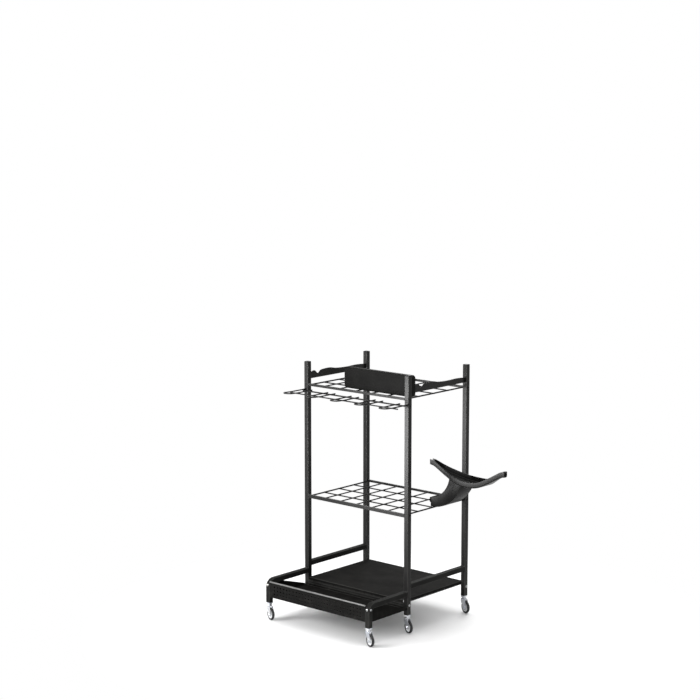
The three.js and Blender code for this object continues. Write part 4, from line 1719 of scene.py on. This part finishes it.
@dataclass
class HandleHolder:
    """Five hairpin wires across the front, on a root rod and a tie rod."""

    shop: Workshop
    wire: float = 0.0025
    root: float = 0.0030
    lug: float = 0.0020
    lug_bend: float = 0.0040
    lug_steps: int = 5
    root_sides: int = 24
    end_gap: float = 0.0004
    width: float = 0.038
    bend: float = 0.030
    tip_share: float = 0.999
    bend_steps: int = 14
    flat_share: float = 0.6364
    count: int = 5
    bead: float = 0.0014

    def build(self) -> None:
        """Makes the rods and the hairpins."""
        coat = self.shop.finishes.coat
        root, tie = Box.of("hook_root_rod"), Box.of("hook_tie_rod")
        first, second = Box.of("hook_loop_1"), Box.of("hook_loop_2")
        centre = Vector((0, root.low.y + self.root, root.middle.z))
        ends = (root.low.x + self.end_gap, root.high.x - self.end_gap)
        line = [Vector((x, centre.y, centre.z)) for x in ends]
        parts = [self.shop.rods.rods([line], self.root, coat, sides=self.root_sides)]
        form = Form()
        for x in (root.low.x, root.high.x - self.lug):
            outline = rounded_section(root.size.y, root.size.z, self.lug_bend, self.lug_steps)
            ring = [Vector((p + root.middle.y, q + root.middle.z)) for p, q, _ in outline]
            form.loft(side_rings((ring, x + step) for step in (0, self.lug)))
        parts.append(form.made("lugs", [coat]))
        line = [Vector((x, tie.middle.y, tie.middle.z)) for x in (tie.low.x, tie.high.x)]
        parts.append(self.shop.rods.rods([line], self.wire, coat))
        step = Vector((second.middle.x - first.middle.x, 0, 0))
        spots = []
        for k in range(self.count):
            for s in (-1, 1):
                x = first.middle.x + step.x * k + s * self.width / 2
                for y, z in ((centre.y, root.middle.z + self.root), (tie.middle.y, tie.high.z)):
                    spots.append((Vector((x, y, z)), Vector((0, 0, 1))))
        parts.append(self.shop.welds(spots, self.bead))
        settled(joined("handle_holder_rods", parts), ["hook_root_rod", "hook_tie_rod"])
        loops = [f"hook_loop_{k + 1}" for k in range(self.count)]
        hairpins = self.shop.rods.rods([self._hairpin(first)], self.wire, coat, self.count, step)
        settled(joined("handle_hairpins", [hairpins]), loops)

    def _hairpin(self, box: Box) -> list[Vector]:
        """The first hairpin's centre line.

        Args:
            box: The hairpin's box.

        Returns:
            The line's points, from one rear end round the tip to the other.
        """
        half = self.width / 2
        low, high = box.low.z + self.wire, box.high.z - self.wire
        back, tip = box.high.y, box.low.y + self.wire
        flat = back + (tip - back) * self.flat_share
        x = box.middle.x
        left = [Vector((x - half, back, low)), Vector((x - half, flat, low)), Vector((x - half, tip, high))]
        right = [Vector((p.x + half * 2, p.y, p.z)) for p in reversed(left)]
        tip_bend = half * self.tip_share
        path = bent_path([*left, *right], [self.bend, tip_bend, tip_bend, self.bend], self.bend_steps)
        return [at for at, _ in path]


# Bands and panel


@dataclass
class SideBand:
    """A scalloped flat band between the posts near the top, with eased edges."""

    shop: Workshop
    side: Side
    height: float = 0.031
    ease: float = 0.0005
    steps: int = 90
    crest: Table = (
        (0, 0.72), (0.06, 0.96), (0.1, 0.9), (0.145, 0.54), (0.19, 0.86), (0.25, 0.96),
        (0.36, 0.98), (0.48, 0.78), (0.66, 0.7), (0.84, 0.74), (1, 0.64),
    )

    def build(self) -> None:
        """Makes the band."""
        node = f"{self.side.word}_side_band"
        box = Box.of(node)
        length = box.size.y
        knots = [(box.low.y + along * length, box.low.z + up * self.height) for along, up in self.crest]
        top = smooth_curve(knots, self.steps)
        outline = [Vector((box.low.y, box.low.z)), Vector((box.high.y, box.low.z)), *reversed(top)]
        form = Form().loft(side_rings(eased_levels(outline, self.ease, box.low.x, box.high.x)))
        made = form.made(f"{self.side.word}_scalloped_band", [self.shop.finishes.coat])
        settled(made, [node])


@dataclass
class TopPanel:
    """A shallow pressed panel, open at its back, that stands on the top grid's front."""

    shop: Workshop
    sheet: float = 0.0015
    corner: float = 0.012
    least_corner: float = 0.004
    corner_steps: int = 8
    edge: float = 0.0035
    rim: float = 0.0004
    steps: int = 5

    def build(self) -> None:
        """Makes the panel."""
        box = Box.of("top_panel")
        edge, rim, sheet = self.edge, self.rim, self.sheet
        front, back = box.low.y, box.high.y
        angles = [math.pi / 2 * s / self.steps for s in range(self.steps + 1)]
        levels = [(edge * (1 - math.sin(a)), front + edge * (1 - math.cos(a))) for a in angles]
        levels += [(0.0, back - rim), (rim, back), (sheet - rim, back), (sheet, back - rim)]
        levels += [(sheet, front + edge), (edge, front + sheet)]
        form = Form().loft([self._ring(box, inset, y) for inset, y in levels])
        settled(form.made("top_pressed_panel", [self.shop.finishes.panel]), ["top_panel"])

    def _ring(self, box: Box, inset: float, y: float) -> list[Vector]:
        """The panel's outline, moved in by the inset, at a depth.

        Args:
            box: The panel's box.
            inset: How far the outline is moved in.
            y: The ring's depth.

        Returns:
            The ring's points.
        """
        corner = max(self.corner - inset, self.least_corner)
        section = rounded_section(box.size.x - inset * 2, box.size.z - inset * 2, corner, self.corner_steps)
        return [Vector((box.middle.x + p, y, box.middle.z + q)) for p, q, _ in section]


# Side cradle


@dataclass
class Cradle:
    """The curved cradle on the right side: a sagging sheet with upright lips, on its bent arm."""

    shop: Workshop
    sheet: float = 0.0030
    lip: float = 0.022
    fold: float = 0.006
    sag: float = 0.066
    end_depth: float = 0.020
    steps: int = 64
    bend_steps: int = 5
    rim: float = 0.0006
    arm_ease: float = 0.0007
    curve: Table = (
        (-1, 1), (-0.92, 0.96), (-0.84, 0.86), (-0.58, 0.47), (-0.3, 0.12), (0, 0),
        (0.3, 0.12), (0.58, 0.47), (0.84, 0.86), (0.92, 0.96), (1, 1),
    )

    def build(self) -> None:
        """Makes the cradle's tray and its arm."""
        box = Box.of("cradle")
        half = box.size.x / 2
        knots = [(box.middle.x + x * half, box.low.z + up * self.sag) for x, up in self.curve]
        rings = [self._section(point, box) for point in smooth_curve(knots, self.steps)]
        form = Form().loft(rings)
        made = form.made("side_cradle_tray", [self.shop.finishes.coat])
        settled(made, ["cradle"])
        arm = softened_copy("cradle_arm", "side_cradle_arm", self.arm_ease, self.shop.finishes.wire)
        settled(arm, ["cradle_arm"])

    def _section(self, point: Vector, box: Box) -> list[Vector]:
        """The sheet's upright section at one place across the cradle, deepest in its middle.

        Args:
            point: The place's X and its height.
            box: The cradle's box.

        Returns:
            The section's points, in order round it.
        """
        swell = math.cos((point.x - box.middle.x) / box.size.x * math.pi) ** 2
        front = box.low.y
        back = front + self.end_depth + (box.size.y - self.end_depth) * swell
        fold, t, lip, ease = self.fold, self.sheet, self.lip, self.rim
        outer = [(front, lip - ease), *self._arc(front + fold, fold, 180, 270)]
        outer += [*self._arc(back - fold, fold, 270, 360), (back, lip - ease)]
        rim = [(back - ease, lip), (back - t + ease, lip), (back - t, lip - ease)]
        inner = [*self._arc(back - fold, fold - t, 360, 270), *self._arc(front + fold, fold - t, 270, 180)]
        rim_front = [(front + t, lip - ease), (front + t - ease, lip), (front + ease, lip)]
        return [Vector((point.x, y, point.y + z)) for y, z in [*outer, *rim, *inner, *rim_front]]

    def _arc(self, y: float, radius: float, start: float, end: float) -> list[tuple[float, float]]:
        """A fold's arc in the section, about a point one fold above the sheet's underside."""
        return [(p.x, p.y) for p in arc_points(y, self.fold, radius, start, end, self.bend_steps)]


# Casters


@dataclass
class Caster:
    """A swivel caster: a pressed fork with its ball race and stem, an axle bolt and a wheel."""

    shop: Workshop
    row: Row
    side: Side
    radius: float = 0.0245
    width: float = 0.0110
    trail: float = 0.0110
    gap: float = 0.0005
    sheet: float = 0.0019
    crown: float = 0.0582
    crown_reach: float = 0.0120
    shoulder: float = 0.0400
    neck: float = 0.0445
    end: float = 0.0086
    bend: float = 0.0045
    race: float = 0.0098
    stem: float = 0.0040
    stem_top: float = 0.0954
    stem_ease: float = 0.0012
    stem_sides: int = 24
    collar: float = 0.0614
    collar_gap: float = 0.0003
    race_depth: float = 0.0008
    race_rise: Table = ((0.0003, 0.0), (0.0, 0.0005), (0.0, 0.0013), (0.0006, 0.0018), (0.0006, 0.0022))
    race_top: Table = ((0.0016, 0.0002), (0.0024, 0.0))
    tip: float = 0.00002
    end_steps: int = 9
    leg_steps: int = 8
    bend_steps: int = 6
    edge_share: float = 0.28
    tip_share: float = 0.3
    pin: float = 0.0030
    pin_sides: int = 20
    washer_sides: int = 28
    washer: Table = ((0.0, 0.0), (0.0051, 0.0), (0.0051, 0.0005), (0.0048, 0.0007), (0.0, 0.0007))
    bolt: Table = ((0.0044, 0.0006), (0.0046, 0.0009), (0.0046, 0.0019), (0.0040, 0.00235))
    dome: Table = ((0.0, 0.0022), (0.0034, 0.0022), (0.0030, 0.00238), (0.0014, 0.00246), (0.0, 0.00246))
    tread: Table = (
        (0.0062, 0.0010, 0.0), (0.0056, 0.0003, 0.0), (0.0040, 0.0, 0.1), (0.0026, 0.0003, 0.3),
        (0.0012, 0.0011, 0.6), (0.0004, 0.0024, 0.9), (0.0001, 0.0042, 1.0), (0.0, 0.0055, 1.0),
    )
    tyre_depth: float = 0.0066
    tyre_inset: float = 0.0022
    wheel_sides: int = 64
    rim: float = 0.0060
    web: float = 0.0022
    hub: float = 0.0068
    bore: float = 0.0033
    hub_ease: float = 0.0006
    hub_foot: float = 0.0008
    rim_rise: Table = ((0.0016, 0.0026), (0.0010, 0.0018), (0.0, 0.0018))
    rim_foot: float = 0.0030
    ribs: int = 8
    rib: float = 0.0008
    rib_overlap: float = 0.0010
    rib_inset: float = 0.0030
    rib_ease: float = 0.0003

    def build(self) -> None:
        """Makes the fork with its axle, and the wheel."""
        place = f"{self.row.value}_{self.side.word}"
        joints = {joint["name"]: joint for joint in frame["joints"]}
        swivel, spin = joints[f"{place}_swivel"], joints[f"{place}_spin"]
        axis, at = spin["axis"], swivel["pos_m"]
        heading = math.atan2(-axis[0], axis[1])
        stand = Matrix.Translation((at[0], at[1], 0)) @ Matrix.Rotation(heading, 4, "Z")
        axle = stand @ Matrix.Translation((self.trail, 0, self.radius))
        axle = axle @ Matrix.Rotation(-math.pi / 2, 4, "X")
        zinc = self.shop.finishes.zinc
        form = self._fork().take(self._race()).moved(stand)
        form.take(self._axle().moved(axle))
        made = form.made(f"{place}_pressed_fork", [zinc])
        settled(made, [f"{place}_caster_fork", f"{place}_caster_axle"], f"{place}_fork")
        wheel = self._wheel(place)
        wheel.data.transform(axle)
        settled(wheel, [f"{place}_caster_wheel"], f"{place}_wheel")

    def _span(self, z: float) -> tuple[float, float]:
        """The fork leg's back and front edges at a height.

        Args:
            z: The height.

        Returns:
            The back edge and the front edge, from the stem's axis.
        """
        axle = self.radius
        if z < axle:
            reach = math.sqrt(max(self.end**2 - (axle - z) ** 2, 0.0))
            return self.trail - reach, self.trail + reach
        rise = min(max((z - axle) / (self.neck - axle), 0.0), 1.0)
        rise = rise * rise * (3 - 2 * rise)
        back = (self.trail - self.end) * (1 - rise) - self.crown_reach * rise
        fall = min(max((z - self.shoulder) / (self.crown - self.shoulder), 0.0), 1.0)
        front = (self.trail + self.end) * (1 - fall) + self.crown_reach * fall
        return back, front

    def _fork(self) -> Form:
        """The bracket: one strip of sheet bent over the wheel.

        Returns:
            The bracket's form.
        """
        half = self.width / 2 + self.gap + self.sheet / 2
        top = self.crown - self.sheet / 2
        bottom = self.radius - self.end
        turns, legs = self.end_steps, self.leg_steps
        levels = [bottom + self.end * (1 - math.cos(math.pi / 2 * k / turns)) for k in range(turns + 1)]
        levels[0] = bottom + self.tip
        rise = top - self.bend - self.radius
        levels += [self.radius + rise * k / legs for k in range(1, legs + 1)]
        arch = [(Vector((half, z)), Vector((0, 1))) for z in levels]
        centre = Vector((half - self.bend, top - self.bend))
        for point in arc_points(centre.x, centre.y, self.bend, 0, 90, self.bend_steps)[1:]:
            way = (point - centre).normalized()
            arch.append((point, Vector((-way.y, way.x))))
        arch += [(Vector((-p.x, p.y)), Vector((w.x, -w.y))) for p, w in reversed(arch)]
        return Form().loft([self._cut(at, way) for at, way in arch], [0, 0, 1, 1, 0, 0, 1, 1])

    def _cut(self, at: Vector, way: Vector) -> list[Vector]:
        """The strip's section where it passes a point, its long edges eased.

        Args:
            at: The point, across and up.
            way: The strip's direction there.

        Returns:
            The section's corners.
        """
        back, front = self._span(at.y)
        half, ease = self.sheet / 2, self.sheet * self.edge_share
        low = min(ease, (front - back) * self.tip_share)
        edge = [(back + low, half), (front - low, half), (front, half - ease), (front, ease - half)]
        edge += [(front - low, -half), (back + low, -half), (back, ease - half), (back, half - ease)]
        return [Vector((x, at.x + way.y * s, at.y - way.x * s)) for x, s in edge]

    def _race(self) -> Form:
        """The ball race under the tube's foot, with the stem in it.

        Returns:
            The race and the stem, as one form.
        """
        r, low, high = self.race, self.crown - self.race_depth, self.collar - self.collar_gap
        profile = [(0, low), *((r - inset, low + up) for inset, up in self.race_rise)]
        profile += [*((r - inset, high - down) for inset, down in self.race_top), (0, high)]
        form = Form().turned(profile)
        s, top, ease = self.stem, self.stem_top, self.stem_ease
        stem = [(0, low), (s, low), (s, top - ease), (s - ease, top), (0, top)]
        return form.take(Form().turned(stem, self.stem_sides))

    def _axle(self) -> Form:
        """The axle bolt about Z: at each end a washer under a hexagon with a domed face.

        Returns:
            The bolt with its washers, as one form.
        """
        cheek, pin = self.width / 2 + self.gap + self.sheet, self.pin
        form = Form().turned([(0, -cheek), (pin, -cheek), (pin, cheek), (0, cheek)], self.pin_sides)
        hexagon = [Vector((math.cos(SIXTH * k), math.sin(SIXTH * k))) for k in range(6)]
        for way in (-1, 1):
            part = Form().turned(self.washer, self.washer_sides)
            part.loft([[Vector((p.x * r, p.y * r, z)) for p in hexagon] for r, z in self.bolt])
            part.turned(self.dome, self.pin_sides)
            flip = Matrix.Diagonal((1, 1, way, 1))
            form.take(part.moved(Matrix.Translation((0, 0, cheek * way)) @ flip))
        return form

    def _wheel(self, place: str) -> bpy.types.Object:
        """The wheel about Z: a crowned tyre on a ribbed hub.

        Args:
            place: The caster's place, which begins the object's name.

        Returns:
            The wheel.
        """
        half, r, sides = self.width / 2, self.radius, self.wheel_sides
        tyre = [(r - inset, deep - half) for inset, deep, _ in self.tread]
        wears = [wear for _, _, wear in self.tread]
        well = (r - self.tyre_depth, half - self.tyre_inset)
        tyre += [*mirrored(tyre[:-1]), well, (well[0], -well[1])]
        form = Form().turned(tyre, sides, 0, [*wears, *wears[-2::-1], 0.0, 0.0])
        rim, web, hub, face = r - self.rim, self.web, self.hub, half + FACE_STEP
        disc = [(self.bore, -face), (hub - self.hub_ease, -face), (hub, self.hub_ease - face)]
        disc += [(hub + self.hub_foot, -web), (rim - self.rim_foot, -web)]
        disc += [(rim - inset, deep - half) for inset, deep in self.rim_rise]
        form.turned([*disc, *mirrored(disc)], sides, 1)
        wheel = form.made(f"{place}_rolling_wheel", [self.shop.finishes.tyre, self.shop.finishes.hub])
        x0, x1, thick = hub - self.rib_overlap, rim - self.rib_overlap, self.rib
        outline = [Vector(p) for p in ((x0, -thick), (x1, -thick), (x1, thick), (x0, thick))]
        reach = half - self.rib_inset
        rib = Form().prism(outline, -reach, reach, self.rib_ease).made("rib", [])
        ribs = self.shop.ribs.applied(rib, self.shop.finishes.hub, {"Count": self.ribs})
        return joined(wheel.name, [wheel, dressed(ribs)])


# Screws


@dataclass
class Screws:
    """The screws that hold the bolted joints together: bright below, coated above."""

    shop: Workshop
    head: float = 0.0050
    height: float = 0.0026
    socket: float = 0.0022
    lift: float = 0.0001
    base_height: float = 0.108
    facets: int = 24
    tube_half: float = 0.010
    leg_drop: float = 0.0235
    arm_sheet: float = 0.0025
    arm_heights: tuple[float, float] = (0.012, 0.040)
    arm_depths: tuple[float, float] = (0.012, 0.045)
    small: Range = (0.8, 0.8)
    profile: Table = ((0.98, 0.0), (1.0, 0.12), (0.94, 0.45), (0.78, 0.78), (0.58, 0.96))
    hexagon: Table = ((1.1, 1.0), (1.0, 0.92), (1.0, 0.35))

    def build(self) -> None:
        """Sets every screw on its face."""
        bright = self.shop.setter.placed(self._screw(), self._low_spots(), self.shop.finishes.screw)
        settled(joined("leg_screws", [bright]))
        coat = self.shop.finishes.coat
        black = self.shop.setter.placed(self._screw(), self._high_spots(), coat, self.small)
        settled(joined("joint_screws", [black]))

    def _screw(self) -> bpy.types.Object:
        """One button-head screw with a hexagon socket, its face at Z = 0.

        Returns:
            The screw.
        """
        angles = [2 * math.pi * k / self.facets for k in range(self.facets)]
        reaches = [math.cos(SIXTH / 2) / math.cos(a % SIXTH - SIXTH / 2) for a in angles]
        levels = [(self.head * share, up, [1.0] * self.facets) for share, up in self.profile]
        levels += [(self.socket * share, up, reaches) for share, up in self.hexagon]
        rings = []
        for radius, up, bends in levels:
            spots = [(a, radius * bend) for a, bend in zip(angles, bends)]
            rings.append([Vector((math.cos(a) * r, math.sin(a) * r, self.height * up)) for a, r in spots])
        return Form().loft(rings).made("screw", [])

    def _low_spots(self) -> list[Spot]:
        """The places and facings of the screws in the legs and the posts' feet.

        Returns:
            Each screw's place and the way it faces.
        """
        spots = []
        half = self.tube_half + self.lift
        for side in Side:
            way = Vector((side.value, 0, 0))
            leg = Box.of(f"{side.word}_leg_rail")
            at = Vector((leg.middle.x, leg.low.y + self.tube_half, leg.high.z - self.leg_drop))
            spots.append((at + Vector((0, -half, 0)), Vector((0, -1, 0))))
            spots.append((at + way * half, way))
            for row in (Row.MIDDLE, Row.REAR):
                post = Box.of(f"{row.value}_{side.word}_post").middle
                spots.append((Vector((post.x, post.y, self.base_height)) + way * half, way))
        return spots

    def _high_spots(self) -> list[Spot]:
        """The places and facings of the screws at the grids, the holder and the cradle's arm.

        Returns:
            Each screw's place and the way it faces.
        """
        spots = []
        half = self.tube_half + self.lift
        arm, root = Box.of("cradle_arm"), Box.of("hook_root_rod")
        grids = [Box.of(f"{name}_grid_frame").middle.z for name in ("mid", "top")]
        for side in Side:
            way = Vector((side.value, 0, 0))
            post = Box.of(f"middle_{side.word}_post").middle
            edge = root.high.x if side is Side.RIGHT else root.low.x
            spots.append((Vector((edge, post.y, root.middle.z)) + way * self.lift, way))
            for row in (Row.MIDDLE, Row.REAR):
                post = Box.of(f"{row.value}_{side.word}_post").middle
                spots += [(Vector((post.x, post.y, z)) + way * half, way) for z in grids]
        rear = Box.of("rear_right_post").low.y
        plate, right = arm.low.x + self.arm_sheet + self.lift, Vector((1, 0, 0))
        for up in self.arm_heights:
            spots += [(Vector((plate, rear - depth, arm.low.z + up)), right) for depth in self.arm_depths]
        return spots


# Studio


@dataclass
class Studio:
    """A pale floor under plain soft light, and the camera where the picture was taken from."""

    focal_pixels: float = 1842.58
    frame_pixels: float = 700
    sensor: float = 36.0
    pitch: float = 0.15167
    yaw: float = 0.72373
    place: Axes = (4.3569, -5.2614, 2.1398)
    world_strength: float = 0.55
    floor_reach: float = 12.0
    floor_grain: Pattern = Pattern(30, 4)
    floor_tones: Range = (0.90, 0.93)
    floor_roughness: float = 0.85
    shadow_range: Range = (0.55, 1.25)
    aim: Axes = (0, 0, 0.5)
    lamps: tuple[tuple[str, Axes, float, float], ...] = (
        ("key", (-2.3, -3.0, 1.5), 2.0, 150),
        ("fill", (2.6, -2.2, 2.6), 2.4, 30),
        ("top", (-0.4, 0.4, 3.2), 2.6, 70),
        ("back", (-1.4, 2.8, 1.4), 1.6, 40),
        ("card", (-0.68, -1.30, 0.52), 0.5, 42),
    )

    def build(self) -> None:
        """Makes the world, the floor, the lamps and the camera."""
        scene = bpy.context.scene
        scene.view_settings.view_transform = "Standard"
        self._world(scene)
        self._floor()
        lamps = {name: self._lamp(name, place, size, power) for name, place, size, power in self.lamps}
        lamps["card"].visible_diffuse = lamps["card"].visible_camera = False
        self._camera(scene)

    def _world(self, scene: bpy.types.Scene) -> None:
        """White to the camera and to reflections, softer as a light.

        Args:
            scene: The scene that is lit.
        """
        world = bpy.data.worlds.new("studio")
        world.use_nodes = True
        board = Board(world.node_tree)
        board.tree.nodes.clear()
        strength = self.world_strength + board.directly_seen() * (1 - self.world_strength)
        light = board.add("ShaderNodeBackground", {"Color": (1, 1, 1, 1), "Strength": strength})
        board.add("ShaderNodeOutputWorld", {0: light.outputs[0]})
        scene.world = world

    def _floor(self) -> None:
        """A wide pale floor that keeps the shadow near the rack and turns white further out."""
        mesh = bpy.data.meshes.new("floor")
        far = self.floor_reach
        corners = [(-far, -far, 0), (far, -far, 0), (far, far, 0), (-far, far, 0)]
        mesh.from_pydata(corners, [], [(0, 1, 2, 3)])
        s = Surface("pale_floor")
        low, high = ((tone, tone, tone, 1) for tone in self.floor_tones)
        colour = s.blend(s.noise(self.floor_grain), low, high)
        values = {"Base Color": colour, "Roughness": self.floor_roughness}
        matt = s.add("ShaderNodeBsdfPrincipled", values)
        bright = s.add("ShaderNodeEmission", {"Color": (1, 1, 1, 1), "Strength": 1.0})
        reach = s.add("ShaderNodeVectorMath", {0: s.place}, operation="LENGTH").outputs["Value"]
        share = Sock(s, reach).eased(*self.shadow_range) * s.directly_seen()
        surface = s.add("ShaderNodeMixShader", {0: share, 1: matt.outputs[0], 2: bright.outputs[0]})
        s.add("ShaderNodeOutputMaterial", {0: surface.outputs[0]})
        mesh.materials.append(s.material)
        new_object("studio_floor", mesh)

    def _lamp(self, name: str, place: Axes, size: float, power: float) -> bpy.types.Object:
        """Adds a soft lamp turned to the rack's middle.

        Args:
            name: The lamp's name.
            place: Where it hangs.
            size: The edge of its square face.
            power: Its power in watts.

        Returns:
            The lamp.
        """
        data = bpy.data.lights.new(name, "AREA")
        data.shape = "SQUARE"
        data.size = size
        data.energy = power
        lamp = bpy.data.objects.new(name, data)
        bpy.context.scene.collection.objects.link(lamp)
        lamp.location = place
        lamp.rotation_euler = (Vector(self.aim) - Vector(place)).to_track_quat("-Z", "Y").to_euler()
        return lamp

    def _camera(self, scene: bpy.types.Scene) -> None:
        """Sets the camera at the picture's own viewpoint.

        Args:
            scene: The scene that gets the camera.
        """
        data = bpy.data.cameras.new("camera")
        data.sensor_width = self.sensor
        data.lens = self.focal_pixels * self.sensor / self.frame_pixels
        data.dof.use_dof = False
        post = Box.of("middle_right_post").middle
        camera = bpy.data.objects.new("camera", data)
        scene.collection.objects.link(camera)
        camera.location = Vector((post.x, post.y, 0)) + Vector(self.place)
        camera.rotation_euler = (math.pi / 2 - self.pitch, 0, self.yaw)
        scene.camera = camera


def main() -> None:
    """Builds every sub-assembly in order, then the studio."""
    logging.basicConfig(level=logging.INFO, format="%(name)s: %(message)s")
    shop = Workshop()
    tube, foot = SquareTube(), FootSocket(shop)
    builders: list[Callable[[], None]] = [
        Posts(shop, tube, foot, PostCap()).build,
        LegRails(shop, tube, foot).build,
        BaseTubes(shop, tube).build,
        TrayApron(shop).build,
        TrayPan(shop, FoldedEdge()).build,
        RearFloor(shop, FoldedEdge()).build,
        RodGrid(shop, "mid_grid", front_over=0.0010, front_under=0.0040).build,
        RodGrid(shop, "top_grid").build,
        HandleHolder(shop).build,
        SideBand(shop, Side.LEFT).build,
        SideBand(shop, Side.RIGHT).build,
        TopPanel(shop).build,
        Cradle(shop).build,
        Screws(shop).build,
    ]
    builders += [Caster(shop, row, side).build for row in Row for side in Side]
    for build in builders:
        build()
    Studio().build()


if __name__ == "__main__":
    main()
